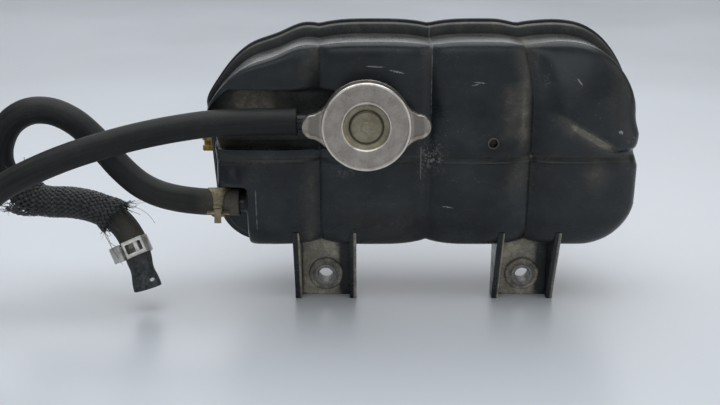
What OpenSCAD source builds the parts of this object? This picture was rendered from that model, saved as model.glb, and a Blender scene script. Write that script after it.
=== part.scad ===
// Coolant expansion tank of a car, with its pressure cap, hoses and rubber mounts.
// Millimetres. X runs along the tank, Y from the front to the back and Z up. The origin is the
// middle of the two bolt holes, on the front faces of the steel sleeves.

/* [Tank body] */
// Length of the body between its end walls
body_w = 300; // [290:1:320]
// Height of the body, without its welded flange
body_h = 151; // [146:1:165]
// Height of the body's underside above the bolts
body_z = 27; // [24:1:34]
// Depth of the front half, from the weld to the crown of the lobes
front_depth = 46; // [43:1:52]
// Depth of the rear half
rear_depth = 62; // [40:1:80]
// Distance of the weld behind the bolt heads' seat
weld_y = 16; // [14:1:20]
// Wall of both halves
wall = 3; // [2.4:0.2:3.4]
// Thickness of each half's weld flange
flange_t = 3; // [2.4:0.2:4]
// Reach of the weld flange above the body
flange_top = 10; // [6:1:12]
// Reach of the weld flange at the left end and below
flange_side = 5; // [3:1:7]
// Reach of the weld flange at the right end
flange_right = 3; // [3:1:6]

/* [Lobes] */
// Place of the groove between the first and the second lobe
groove_1_x = -77; // [-79:1:-75]
// Place of the groove in the middle
groove_2_x = 0; // [-6:1:6]
// Place of the groove before the right lobe
groove_3_x = 72; // [66:1:76]
// Depth of the grooves between the lobes
groove_depth = 6; // [3:0.5:8]
// Rise of each lobe in the top outline
scallop = 3; // [0:0.5:4]
// Height of the long groove across the lobes, above the bolts
waist_z = 99; // [97:1:101]
// Depth of the long groove
waist_depth = 2; // [1:0.2:3]
// How far the upper right lobe stands out
dome_rise = 5; // [2:0.5:6]

/* [Hose channel and notch] */
// Underside of the channel in the left lobe
channel_z0 = 107; // [105:0.5:108]
// Top of the channel
channel_z1 = 146; // [144:0.5:148]
// Where the channel ends beside the neck
channel_end_x = -67.5; // [-68.5:0.5:-66.5]
// Depth of the channel below the crown of the lobes
channel_depth = 16; // [10:1:20]
// Where the lower left notch ends
notch_x = -130; // [-132:1:-128]
// Top of the lower left notch
notch_z = 71; // [70:0.5:72]
// How far the notch's floor stands in front of the weld
notch_floor = 9; // [8:0.5:10]

/* [Neck] */
// Place of the neck along the tank
neck_x = -44; // [-46:1:-42]
// Height of the neck's axis above the bolts
neck_z = 126.5; // [124:0.5:129]
// Bore of the neck
neck_bore = 38; // [34:1:40]
// Wall of the neck
neck_wall = 3.5; // [3:0.25:4]
// How far the neck's rim stands in front of the lobes
neck_rise = 18; // [16:1:22]
// Thickness of the bayonet flange on the neck
cam_t = 3.2; // [2.4:0.2:4]
// Reach of the bayonet flange beyond the neck
cam_reach = 3.3; // [2.5:0.1:3.5]
// Depth of the sealing seat below the rim
seat_depth = 23.5; // [22:0.5:26]
// Hole in the sealing seat
seat_hole = 20; // [16:1:22]

/* [Nipple and stub] */
// Outer diameter of the overflow nipple
nipple_d = 11.2; // [9:0.2:12]
// Length of the nipple beyond the neck
nipple_len = 46; // [36:1:50]
// Distance of the nipple's axis below the neck's rim
nipple_drop = 14; // [12:0.5:15]
// Outer diameter of the feed stub
stub_d = 14; // [12:0.5:15]
// Height of the feed stub above the bolts
stub_z = 59; // [57:0.5:61]
// Distance of the feed stub in front of the weld
stub_y = 20; // [19:0.5:21]
// Reach of the feed stub from the notch's end wall
stub_len = 30; // [24:1:34]
// Wall of the nipple and the stub
pipe_wall = 2; // [1.5:0.1:2.5]

/* [Brackets] */
// Distance between the two bolts
bolt_spacing = 148; // [144:0.5:150]
// Inner width of each bracket
bracket_w = 36; // [34:0.5:40]
// Thickness of the bracket plate
plate_t = 4; // [3:0.25:5]
// Thickness of the bracket ribs
rib_t = 5; // [3:0.25:6]
// How far the plate reaches below the bolts
foot_drop = 17.5; // [16:0.5:20]
// How far the sleeves stand in front of the plate
plate_y = 4; // [2:0.5:6]
// Reach of the ribs in front of the plate at the foot
rib_foot = 8; // [4:1:12]
// Bore of the steel sleeves
bolt_hole = 11; // [8.5:0.1:11.4]
// Wall of the steel sleeves
sleeve_wall = 1.75; // [1:0.25:2]
// Diameter of the sleeves' front flange
sleeve_head_d = 17; // [16.5:0.25:19]
// Thickness of the sleeves' front flange
sleeve_head_t = 1; // [0.6:0.1:1.5]
// Diameter of the grommets' lips
grommet_d = 25.6; // [24:0.2:27]
// Hole in the plate that the grommet's groove sits in
grommet_groove_d = 20; // [19.5:0.25:21]

/* [Cap] */
// Diameter of the cap
cap_d = 60.8; // [60:0.1:62]
// Sheet of the cap
cap_sheet = 1; // [0.8:0.05:1.2]
// Height of the cap's skirt
cap_skirt = 9.5; // [9:0.25:10]
// Distance from the cap's middle to the middle of each ear's tip
ear_reach = 34.8; // [33:0.2:37]
// Radius of the ears' tips
ear_r = 8.7; // [7:0.1:10]
// Half width of the ears at the cap
ear_root = 12; // [10:0.25:13]
// Depth of the ears' turned edge
ear_lip = 6; // [4:0.25:7]
// Diameter of the sunk ring in the cap's top
dish_d = 32; // [30:0.5:34]
// Diameter of the raised middle
boss_d = 22.6; // [20:0.2:24]
// How far the ring is sunk
dish_drop = 1.2; // [0.8:0.1:1.4]
// Thickness of the rubber ring on the neck's rim
gasket_t = 1.4; // [1:0.1:2]
// Thickness of the sprung disc under the cover
diaphragm_t = 0.4; // [0.3:0.05:0.6]
// Diameter of the rivet's shank
rivet_d = 4; // [3:0.25:5]

/* [Pressure valve] */
// Outer diameter of the spring cage
cage_d = 34; // [33:0.25:35]
// Wall of the spring cage
cage_wall = 0.8; // [0.6:0.05:1]
// Thickness of the pressure plate
valve_plate_t = 1.2; // [1:0.1:1.6]
// Thickness of the rubber seal
seal_t = 3.5; // [3:0.1:4]
// Mean diameter of the pressure spring
spring_d = 25; // [20:0.5:26]
// Wire of the pressure spring
spring_wire = 2; // [1.4:0.1:2.4]
// Turns of the pressure spring
spring_turns = 4.5; // [3:0.5:6]
// Diameter of the vacuum valve
vacuum_d = 12; // [11:0.5:14]
// Travel of the pressure valve
pressure_travel = 3; // [2:0.25:3.5]
// Travel of the vacuum valve
vacuum_travel = 2; // [1:0.25:2.5]

/* [Side plug] */
// Height of the plug above the bolts
plug_z = 94; // [90:1:98]
// Distance of the plug behind the weld
plug_y = 22; // [20:1:26]
// Diameter of the plug's head
plug_d = 17; // [15:0.5:18]
// Reach of the plug's head from its ring
plug_head = 16; // [10:1:18]
// Diameter of the plug's shank
plug_shank_d = 11; // [9:0.5:12]

/* [Hoses] */
// Outer diameter of the feed hose
feed_d = 19.6; // [18.6:0.2:20]
// Outer diameter of the overflow hose
overflow_d = 18.6; // [17:0.2:19]
// Outer diameter of the braided sleeve
braid_d = 24; // [23:0.5:26]
// Width of the clamp at the stub
clamp_w = 10; // [8:0.5:12]
// Width of the clamp at the free end
end_clamp_w = 12.5; // [10:0.5:14]
// Thickness of the clamps' band
band_t = 1; // [0.8:0.1:1.4]

/* [Hidden] */
$fn = 64;
eps = 0.01;
fit = 0.05;

plastic = [0.10, 0.11, 0.12];
rubber = [0.16, 0.16, 0.16];
steel = [0.62, 0.60, 0.57];

// Outline of the body. The upper corners are long and soft, the lower ones are round.
half_w = body_w / 2;
half_h = body_h / 2;
waist_half = 3.5;
body_mid = body_z + half_h;
body_top = body_z + body_h;
left_top_run = 65;
left_top_fall = 50;
left_top_power = 1.7;
right_top_run = 62;
right_top_fall = 58;
right_top_power = 2;
left_foot_r = 28;
right_foot_r = 38;
lobe_ends = [-half_w, groove_1_x, groove_2_x, groove_3_x, half_w];

function fall(t, power) = let(u = min(max(t, 0), 1)) 1 - pow(1 - pow(u, power), 1 / power);

// Which lobe a place belongs to, and how far it is from that lobe's middle, from 0 to 1.
// The end walls have no groove, so the outer halves of the outer lobes count as the middle.
function lobe_of(x) = x < groove_1_x ? 0 : x < groove_2_x ? 1 : x < groove_3_x ? 2 : 3;
function lobe_u(x) = let(k = lobe_of(x), u = 2 * (x - lobe_ends[k]) / (lobe_ends[k + 1] - lobe_ends[k]) - 1)
    k == 0 && u < 0 || k == 3 && u > 0 ? 0 : min(abs(u), 1);

// Edges of the outline, moved out by a flange or in by a wall: [left, right, top, bottom]
function top_z(x, out) =
    body_top + out[2] + scallop * (0.6 - pow(lobe_u(x), 3))
    - (left_top_fall + out[2]) * fall((-half_w + left_top_run - x) / (left_top_run + out[0]), left_top_power)
    - (right_top_fall + out[2]) * fall((x - half_w + right_top_run) / (right_top_run + out[1]), right_top_power);
function bottom_z(x, out) =
    body_z - out[3] + scallop * pow(lobe_u(x), 3)
    + (left_foot_r + out[3]) * fall((-half_w + left_foot_r - x) / (left_foot_r + out[0]), 2)
    + (right_foot_r + out[3]) * fall((x - half_w + right_foot_r) / (right_foot_r + out[1]), 2);

no_offset = [0, 0, 0, 0];
flange = [flange_side, flange_right, flange_top, flange_side];
inset = [-wall, -wall, -wall, -wall];

// Rounded block: how much of the full depth there is at a share u of the half size
function bulge(u, power) = pow(1 - pow(min(abs(u), 1), power), 1 / power);
left_end_power = 12;
right_end_power = 7;
function across(x) = bulge(x / half_w, x < 0 ? left_end_power : right_end_power);

// Between the feet and the shoulders the rows of the skin are level, apart from the one that
// follows the slanting edge of the dome. Above and below they close up to the outline.
low_knee = 62;
ridge_knee = 126;
high_knee = 150.5;
knee_gap = 4;
ridge_gap = 6;
dome_from_x = groove_3_x + 14;
dome_to_x = half_w - 20;
ridge_from_z = 131;
ridge_to_z = 106;
function ridge(x) = x < groove_3_x ? ridge_knee
    : x < dome_from_x ? ridge_knee + (ridge_from_z - ridge_knee) * (x - groove_3_x) / (dome_from_x - groove_3_x)
    : ridge_from_z + (ridge_to_z - ridge_from_z) * min(1, (x - dome_from_x) / (dome_to_x - dome_from_x));
function knees(x, out) = let(a = bottom_z(x, out), b = top_z(x, out), w = waist_z + waist_half,
        gap = x < 0 ? knee_gap : (b - w) * (body_top - high_knee) / (body_top - w),
        k = min(high_knee, b - gap))
    [a, max(low_knee, a + knee_gap), w, min(ridge(x), k - ridge_gap), k, b];
function stations(out) = [body_z - out[3], low_knee, waist_z + waist_half, ridge_knee, high_knee,
    body_top + out[2]];
function row_z(x, z, out) = let(s = stations(out), k = knees(x, out)) lookup(z, [for (i = [0 : 5]) [s[i], k[i]]]);
function level(x, z) = let(s = stations(no_offset), k = knees(x, no_offset))
    lookup(z, [for (i = [0 : 5]) [k[i], s[i]]]);
function upright(z) = bulge((z - body_mid) / half_h, z > body_mid ? 6 : 4);
function smooth(t) = let(u = min(max(t, 0), 1)) u * u * (3 - 2 * u);

// The upper right lobe stands out as a dome. Below its slanting edge it slopes back to the long groove.
dome_start = 4;
dome_run = 18;
function dome(x, z) = dome_rise * smooth((x - groove_3_x - dome_start) / dome_run)
    * min(1, max(0, (z - waist_z - waist_half) / (ridge_knee - waist_z - waist_half)));
// The long groove runs round the tank at one height, and is faint on the left lobes.
function waist(x, z) = waist_depth * (x < groove_2_x ? 0.5 : 1) * max(0, 1 - abs(z - waist_z) / waist_half);

function in_channel(x, z) = x < channel_end_x && z > channel_z0 && z < channel_z1;
function in_notch(x, z) = x < notch_x && z < notch_z;
function crown(x, z) =
    in_notch(x, z) ? notch_floor :
    in_channel(x, z) ? front_depth - channel_depth :
    front_depth - groove_depth * pow(lobe_u(x), 4) - waist(x, z) + dome(x, z);
function front_form(x, z) = let(l = level(x, z), round = across(x) * upright(l))
    flange_t + max(0, crown(x, l) - flange_t) * round;
function rear_form(x, z) = let(l = level(x, z), round = across(x) * upright(l))
    flange_t + (rear_depth - flange_t - groove_depth / 2 * pow(lobe_u(x), 4)) * round;

// Sorted numbers, so that a row of stations stays in order when a size changes
function sorted(v) = len(v) < 2 ? v : let(p = v[floor(len(v) / 2)])
    concat(sorted([for (a = v) if (a < p) a]), [p], sorted([for (a = v) if (a > p) a]));

// Stations are close together at the round edges, at the grooves and at each step in the form.
edge_x = [0, 0.6, 2.2, 5.5, 11];
edge_top = [0, 0.6, 1.8, 4.4, 9.5];
edge_foot = [0, 0.6, 2.8, 8.2, 16.5];
step = 3;
front_x = sorted(concat(
    [for (e = edge_x) -half_w + e], [for (e = edge_x) half_w - e],
    [notch_x - 1, notch_x + 2, notch_x + 5],
    [channel_end_x - 1.5, channel_end_x + 1.5, channel_end_x + 4.5],
    [-116, -102, -90], [for (e = [-5, 0, 5]) groove_1_x + e],
    [-54, -44, -34, -24, -14], [for (e = [-6, 0, 6]) groove_2_x + e],
    [16, 27, 38, 49], [for (e = [-12, -5, 0, 5, 12, 20]) groove_3_x + e],
    [102, 112, 122, 132]));
front_z = sorted(concat(
    [for (e = edge_top) body_top - e], [for (e = edge_foot) body_z + e],
    [notch_z - 1.5, notch_z + 1.5, notch_z + 4.5],
    [channel_z0 - 4.5, channel_z0 - 1.5, channel_z0 + 1.5],
    [channel_z1 - 1.5, channel_z1 + 1.5, channel_z1 + 4.5],
    [waist_z - waist_half, waist_z, waist_z + waist_half],
    [53, low_knee, 82, 116, ridge_knee, 135, 160]));
rear_x = sorted(concat([for (e = edge_x) -half_w + e], [for (e = edge_x) half_w - e],
    [for (g = [groove_1_x, groove_2_x, groove_3_x], e = [-8, 0, 8]) g + e],
    [-128, -115, -100, -55, -38, -22, 22, 36, 50, 95, 112, 128]));
rear_z = sorted(concat([for (e = edge_top) body_top - e], [for (e = edge_foot) body_z + e],
    [57, 72, 88, 104, 120, 136, 152]));

// A wall's inner side lies a wall's thickness under the lowest place of the outer form nearby.
function under(form, x, z) = max(0, min([for (d = [[0, 0], [wall, 0], [-wall, 0], [0, wall], [0, -wall]])
    form == 0 ? front_form(x + d[0], z + d[1]) : rear_form(x + d[0], z + d[1])]) - max(wall, flange_t));

// The groove before the right lobe leans to the left at the top, and the right end has a waist.
lean = 10;
pinch = 4;
function shifted(x, z) = x
    - lean * smooth((z - 135) / 60) * smooth(1 - abs(x - groove_3_x) / 34)
    - pinch * smooth((x - half_w + 26) / 26) * max(0, 1 - abs(z - waist_z - 3) / 12);

// One half of the tank as a closed skin. The rows and columns at its rim belong to the flange,
// the others to the body, and the outer and the inner side share the rim.
bevel = 0.4;
function cols(s) = concat(
    [-half_w - flange_side, -half_w - flange_side + bevel], s,
    [half_w + flange_right - bevel, half_w + flange_right]);
function inner_cols(s) = concat(
    [-half_w - flange_side, -half_w - 1],
    [for (x = s) abs(x) > half_w - 20 ? sign(x) * (abs(x) - wall) : x],
    [half_w + 1, half_w + flange_right]);
function place(x, z, d, back) = [shifted(x, z), back ? weld_y + d : weld_y - d, z];
function outer_col(x, rows, form, back) = let(
        rim = x <= -half_w - flange_side || x >= half_w + flange_right,
        a = bottom_z(x, flange), b = top_z(x, flange),
        t = rim ? 0 : flange_t)
    concat([place(x, a, 0, back)], [place(x, a + bevel, t, back)],
        [for (z = rows) let(h = rim ? a + 2 * bevel + (b - a - 4 * bevel) * (z - body_z) / body_h
                : row_z(x, z, no_offset))
            place(x, h, rim ? 0 : form == 0 ? front_form(x, h) : rear_form(x, h), back)],
        [place(x, b - bevel, t, back)], [place(x, b, 0, back)]);
function inner_col(x, rows, form, back) = let(
        rim = abs(x) > half_w - wall - eps, a = bottom_z(x, flange), b = top_z(x, flange))
    concat([place(x, a, 0, back)], [place(x, (a + bottom_z(x, inset)) / 2, 0, back)],
        [for (z = rows) let(
            m = z > body_top - 20 ? z - wall : z < body_z + 20 ? z + wall : z,
            h = row_z(x, m, inset))
            place(x, h, rim || h >= top_z(x, inset) - eps || h <= bottom_z(x, inset) + eps ? 0 :
                under(form, x, h), back)],
        [place(x, (b + top_z(x, inset)) / 2, 0, back)], [place(x, b, 0, back)]);

module skin(s, rows, form, back) {
    xs_out = cols(s);
    xs_in = inner_cols(s);
    n = len(xs_out);
    m = len(rows) + 4;
    outside = [for (x = xs_out) each outer_col(x, rows, form, back)];
    inside = [for (i = [1 : n - 2]) let(c = inner_col(xs_in[i], rows, form, back))
        each [for (j = [1 : m - 2]) c[j]]];
    function out(i, j) = i * m + j;
    function in(i, j) = i == 0 || j == 0 || i == n - 1 || j == m - 1 ? out(i, j)
        : n * m + (i - 1) * (m - 2) + j - 1;
    function tri(a, b, c) = back ? [a, c, b] : [a, b, c];
    function quad(a, b, c, d, corner) = corner ? [tri(a, b, d), tri(b, c, d)] : [tri(a, b, c), tri(a, c, d)];
    panes = [for (i = [0 : n - 2], j = [0 : m - 2])
        let(corner = i == 0 && j == m - 2 || i == n - 2 && j == 0) each concat(
            quad(out(i, j), out(i, j + 1), out(i + 1, j + 1), out(i + 1, j), corner),
            quad(in(i, j), in(i + 1, j), in(i + 1, j + 1), in(i, j + 1), corner))];
    last = len(panes) - 1;
    polyhedron(points = concat(outside, inside),
        faces = [for (k = [0 : last]) panes[back ? last - k : k]], convexity = 10);
}

// Everything on the neck is drawn upright and laid over, so that its height points to the front.
crown_h = front_depth - weld_y;
rim_h = crown_h + neck_rise;
module on_neck() translate([neck_x, 0, neck_z]) rotate([90, 0, 0]) children();
module along_left(x, y, z) translate([x, y, z]) rotate([0, -90, 0]) children();

neck_r = neck_bore / 2 + neck_wall;
nipple_h = rim_h - nipple_drop;
seat_h = rim_h - seat_depth;
seat_t = 3;
cam_r = neck_r + cam_reach;
tab_angle = 30;
module neck() on_neck() {
    translate([0, 0, seat_h - seat_t]) cylinder(r = neck_r, h = seat_depth + seat_t);
    difference() {
        translate([0, 0, rim_h - cam_t]) cylinder(r = cam_r, h = cam_t);
        for (a = [0, 180]) rotate(a) translate([neck_r, -cam_r * sin(tab_angle * 0.75), rim_h - cam_t - 1])
            cube([cam_r, 2 * cam_r * sin(tab_angle * 0.75), cam_t + 2]);
    }
    translate([-neck_r + 1.5, 0, nipple_h]) rotate([0, -90, 0]) {
        cylinder(d = nipple_d, h = nipple_len);
        translate([0, 0, nipple_len - 5]) cylinder(d1 = nipple_d + 1, d2 = nipple_d - 1, h = 5);
    }
}
module neck_bores() on_neck() {
    translate([0, 0, seat_h]) cylinder(d = neck_bore, h = seat_depth + 1);
    translate([0, 0, seat_h - seat_t - 1]) cylinder(d = seat_hole, h = seat_t + 2);
    translate([-neck_bore / 2 + 2, 0, nipple_h]) rotate([0, -90, 0])
        cylinder(d = nipple_d - 2 * pipe_wall, h = nipple_len + 10);
}

stub_root = notch_x + 5;
feed_y = weld_y - stub_y;
module stub() along_left(stub_root, feed_y, stub_z) {
    cylinder(d = stub_d, h = stub_len);
    translate([0, 0, stub_len - 6]) cylinder(d1 = stub_d + 1, d2 = stub_d - 1.5, h = 6);
}
module stub_bore() along_left(stub_root + 5, feed_y, stub_z)
    cylinder(d = stub_d - 2 * pipe_wall, h = stub_len + 10);

// A bracket leg is a plate between two ribs. Its ribs follow the underside of the body, inside its wall.
plate_back = plate_y + plate_t;
rib_top_y = -front_depth + weld_y + 5;
function under_body(x, y) = let(d = (weld_y - y - flange_t) / (front_depth - flange_t))
    body_mid - half_h * pow(1 - pow(min(d, 0.99), 4), 0.25) + scallop * pow(lobe_u(x), 3);
module rib(x) translate([x, 0, 0]) rotate([90, 0, 90]) linear_extrude(rib_t)
    polygon(concat([[plate_back, -foot_drop], [plate_y - rib_foot, -foot_drop], [rib_top_y, under_body(x, rib_top_y)]],
        [for (y = [rib_top_y + 2 : 6 : plate_back]) [y, under_body(x, y) + wall / 2]],
        [[plate_back, under_body(x, plate_back) + wall / 2]]));
module bracket(x) {
    translate([x - bracket_w / 2 - 1, plate_y, -foot_drop])
        cube([bracket_w + 2, plate_t, foot_drop + body_z + scallop + wall / 2]);
    rib(x - bracket_w / 2 - rib_t);
    rib(x + bracket_w / 2);
}
module bracket_holes() for (x = [-bolt_spacing / 2, bolt_spacing / 2])
    translate([x, plate_y - 1, 0]) rotate([-90, 0, 0]) cylinder(d = grommet_groove_d, h = plate_t + 2);

gate_x = 44;
gate_z = 110;
module gate_mark() translate([gate_x, -crown_h + 1.5, gate_z]) rotate([90, 0, 0])
    difference() {
        cylinder(d = 8, h = 1.9);
        translate([0, 0, 0.6]) cylinder(d = 4.6, h = 2);
    }

module front_shell() color(plastic) difference() {
    union() {
        skin(front_x, front_z, 0, false);
        neck();
        stub();
        bracket(-bolt_spacing / 2);
        bracket(bolt_spacing / 2);
        gate_mark();
    }
    neck_bores();
    stub_bore();
    bracket_holes();
}

port_y = weld_y + plug_y;
plug_hole_d = plug_shank_d + 2 * fit;
module rear_shell() color(plastic) difference() {
    skin(rear_x, rear_z, 1, true);
    along_left(-half_w + 4 * wall, port_y, plug_z) cylinder(d = plug_hole_d, h = 6 * wall);
}

// Rubber grommets in the legs, and the steel sleeves that the bolts pass through
sleeve_len = 2 * plate_y + plate_t;
sleeve_r = bolt_hole / 2 + sleeve_wall;
module at_bolt(side) translate([side * bolt_spacing / 2, 0, 0]) rotate([-90, 0, 0]) children();
module grommet(side) color(rubber) at_bolt(side) rotate_extrude() polygon([
    [sleeve_r, sleeve_head_t], [sleeve_r, sleeve_len - sleeve_head_t],
    [grommet_d / 2 - 1, sleeve_len - sleeve_head_t], [grommet_d / 2, sleeve_len - sleeve_head_t - 1],
    [grommet_d / 2, plate_back], [grommet_groove_d / 2, plate_back],
    [grommet_groove_d / 2, plate_y], [grommet_d / 2, plate_y],
    [grommet_d / 2, sleeve_head_t + 1], [grommet_d / 2 - 1, sleeve_head_t]]);
module sleeve(side) color(steel) at_bolt(side) difference() {
    union() {
        cylinder(r = sleeve_r, h = sleeve_len);
        cylinder(d = sleeve_head_d, h = sleeve_head_t);
    }
    translate([0, 0, -1]) cylinder(d = bolt_hole, h = sleeve_len + 2);
}
module left_grommet() grommet(-1);
module right_grommet() grommet(1);
module left_sleeve() sleeve(-1);
module right_sleeve() sleeve(1);

// Cap. Its stack hangs from the cover: the disc lies under the sunk ring, then the cage.
cap_r = cap_d / 2;
gasket_h = rim_h;
disc_h = gasket_h + gasket_t;
cover_h = disc_h + diaphragm_t + dish_drop + cap_sheet;
skirt_h = cover_h - cap_skirt;
boss_rise = 0.8;
cover_line = [[0, boss_rise - dish_drop], [boss_d / 2 - 0.4, boss_rise - dish_drop], [boss_d / 2 + 0.4, -dish_drop],
    [dish_d / 2 - 1, -dish_drop], [dish_d / 2, 0], [cap_r - 2.4, 0], [cap_r - 1.4, 0.3], [cap_r - 0.5, 0.1],
    [cap_r, -0.7]];
module cover_ring() rotate_extrude($fn = 96) polygon(concat(
    [for (p = cover_line) [p[0], cover_h + p[1]]],
    [[cap_r, skirt_h], [cap_r - cap_sheet, skirt_h], [cap_r - cap_sheet, cover_h - 1.6]],
    [for (i = [len(cover_line) - 4 : -1 : 0]) [cover_line[i][0], cover_h + cover_line[i][1] - cap_sheet]]));
module ear_plan(shrink) {
    translate([ear_reach, 0]) circle(r = ear_r - shrink);
    polygon([[0, ear_root - shrink + 4], [cap_r - 3, ear_root - shrink + 1.4], [cap_r - 0.6, ear_root - shrink - 0.6],
        [ear_reach, ear_r - shrink], [ear_reach, -ear_r + shrink], [cap_r - 0.6, -ear_root + shrink + 0.6],
        [cap_r - 3, -ear_root + shrink - 1.4], [0, -ear_root + shrink - 4]]);
}
ear_h = cover_h - 0.8;
module ears() for (a = [0, 180]) rotate(a) difference() {
    translate([0, 0, ear_h - ear_lip]) linear_extrude(ear_lip) ear_plan(0);
    translate([0, 0, ear_h - ear_lip - 1]) linear_extrude(ear_lip + 1 - cap_sheet) ear_plan(cap_sheet);
    translate([0, 0, ear_h - ear_lip - 1]) cylinder(r = cap_r - cap_sheet / 2, h = ear_lip + 2);
}
tab_h = rim_h - cam_t - 0.3;
tab_in = neck_r + 1;
module tabs() for (a = [90, 270]) rotate(a - tab_angle / 2) translate([0, 0, tab_h - cap_sheet])
    rotate_extrude(angle = tab_angle) translate([tab_in, 0]) square([cap_r - tab_in - cap_sheet / 2, cap_sheet]);
module cap_cover() color(steel) on_neck() difference() {
    union() {
        cover_ring();
        ears();
        tabs();
    }
    translate([0, 0, cover_h - 5]) cylinder(d = rivet_d + 2 * fit, h = 10);
}
rivet_top = cover_h - dish_drop + boss_rise;
cage_top = disc_h;
rivet_head_t = 0.6;
module cap_rivet() color(steel) on_neck() {
    translate([0, 0, cage_top - cage_wall - 1]) cylinder(d = rivet_d, h = rivet_top - cage_top + cage_wall + 1);
    translate([0, 0, rivet_top]) cylinder(d1 = rivet_d + 4, d2 = rivet_d + 3, h = rivet_head_t);
    translate([0, 0, cage_top - cage_wall - 1.2]) cylinder(d = rivet_d + 3, h = 1.2);
}
module cap_diaphragm() color(steel) on_neck() translate([0, 0, disc_h]) difference() {
    cylinder(r = cap_r - cap_sheet - 1.2, h = diaphragm_t);
    translate([0, 0, -1]) cylinder(d = rivet_d + 2 * fit, h = 3);
}
module cap_gasket() color(rubber) on_neck() translate([0, 0, gasket_h]) difference() {
    cylinder(r = cam_r - 0.3, h = gasket_t);
    translate([0, 0, -1]) cylinder(d = neck_bore - 1, h = gasket_t + 2);
}
// The cage is a cup that hangs in the neck and holds the valve plate on its turned lip.
plate_h = seat_h + seal_t;
lip_t = 0.8;
cage_low = plate_h - lip_t;
window_w = 9;
window_sill = 6;
window_h = plate_h + valve_plate_t + pressure_travel + 2;
module valve_cage() color(steel) on_neck() difference() {
    translate([0, 0, cage_low]) cylinder(d = cage_d, h = cage_top - cage_low);
    translate([0, 0, plate_h]) cylinder(d = cage_d - 2 * cage_wall, h = cage_top - cage_wall - plate_h);
    translate([0, 0, cage_low - 1]) cylinder(d = seal_d + 0.6, h = lip_t + 2);
    translate([0, 0, cage_low]) cylinder(d = rivet_d + 2 * fit, h = 40);
    for (a = [30, 150, 270]) rotate(a) translate([stem_head_d, -window_w / 2, window_h])
        cube([cage_d, window_w, cage_top - window_sill - window_h]);
}
seal_d = cage_d - 2 * cage_wall - 3;
stem_d = 2.4;
stem_hole_d = 3.4;
module pressure_plate() color(steel) on_neck() translate([0, 0, plate_h]) difference() {
    cylinder(d = cage_d - 2 * cage_wall - 0.6, h = valve_plate_t);
    translate([0, 0, -1]) cylinder(d = stem_hole_d, h = 5);
}
module pressure_seal() color(rubber) on_neck() translate([0, 0, seat_h]) difference() {
    cylinder(d = seal_d, h = seal_t);
    translate([0, 0, -1]) cylinder(d = stem_hole_d + 3, h = seal_t + 2);
}
// Round wire wound along a helix
module coil(d, wire, turns, h, sides, steps) {
    n = ceil(turns * steps);
    ring = [for (i = [0 : n]) let(t = i / n, a = 360 * turns * t, lift = wire / 2 + (h - wire) * t)
        for (k = [0 : sides - 1]) let(b = 360 * k / sides, r = d / 2 + wire / 2 * cos(b))
            [r * cos(a), r * sin(a), lift + wire / 2 * sin(b)]];
    polyhedron(points = ring, faces = concat(
        [[for (k = [sides - 1 : -1 : 0]) k]],
        [for (i = [0 : n - 1], k = [0 : sides - 1]) let(a = i * sides + k, b = i * sides + (k + 1) % sides)
            each [[a, b, a + sides], [b, b + sides, a + sides]]],
        [[for (k = [0 : sides - 1]) n * sides + k]]));
}
spring_room = cage_top - cage_wall - plate_h - valve_plate_t;
module pressure_spring() color(steel) on_neck() translate([0, 0, plate_h + valve_plate_t])
    coil(spring_d, spring_wire, spring_turns, spring_room, 8, 20);
vacuum_t = 1.2;
vacuum_wire = 0.6;
vacuum_turns = 5;
stem_head_t = 0.8;
stem_len = vacuum_turns * vacuum_wire + vacuum_travel + 2.2 + stem_head_t;
vacuum_h = seat_h - vacuum_t;
stem_head_d = 5;
module vacuum_valve() color(steel) on_neck() {
    translate([0, 0, vacuum_h]) cylinder(d = vacuum_d, h = vacuum_t);
    translate([0, 0, seat_h]) cylinder(d = stem_d, h = seal_t + valve_plate_t + stem_len);
    translate([0, 0, plate_h + valve_plate_t + stem_len - stem_head_t]) cylinder(d = stem_head_d, h = stem_head_t);
}
module vacuum_spring() color(steel) on_neck() translate([0, 0, plate_h + valve_plate_t])
    coil(stem_hole_d + 0.5, vacuum_wire, vacuum_turns, stem_len - stem_head_t, 6, 12);

// Yellow plug in the left end, with its ring
ring_t = 1.5;
module port_plug_ring() color(rubber) along_left(-half_w, port_y, plug_z) difference() {
    cylinder(d = plug_d - 1, h = ring_t);
    translate([0, 0, -1]) cylinder(d = plug_shank_d, h = ring_t + 2);
}
plug_in = 4;
plug_collar_t = 4;
plug_grip = plug_d - 5;
module port_plug() color("goldenrod") along_left(-half_w + wall + plug_in, port_y, plug_z) difference() {
    union() {
        cylinder(d = plug_shank_d, h = plug_in + wall + ring_t + 1);
        translate([0, 0, plug_in + wall + ring_t]) {
            cylinder(d = plug_d, h = plug_collar_t);
            translate([-plug_grip / 2, -plug_grip / 2, plug_collar_t - 1])
                cube([plug_grip, plug_grip, plug_head - plug_collar_t + 1]);
        }
    }
    translate([0, 0, -1]) cylinder(d = plug_shank_d - 4, h = plug_in + wall + 1);
}

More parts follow.
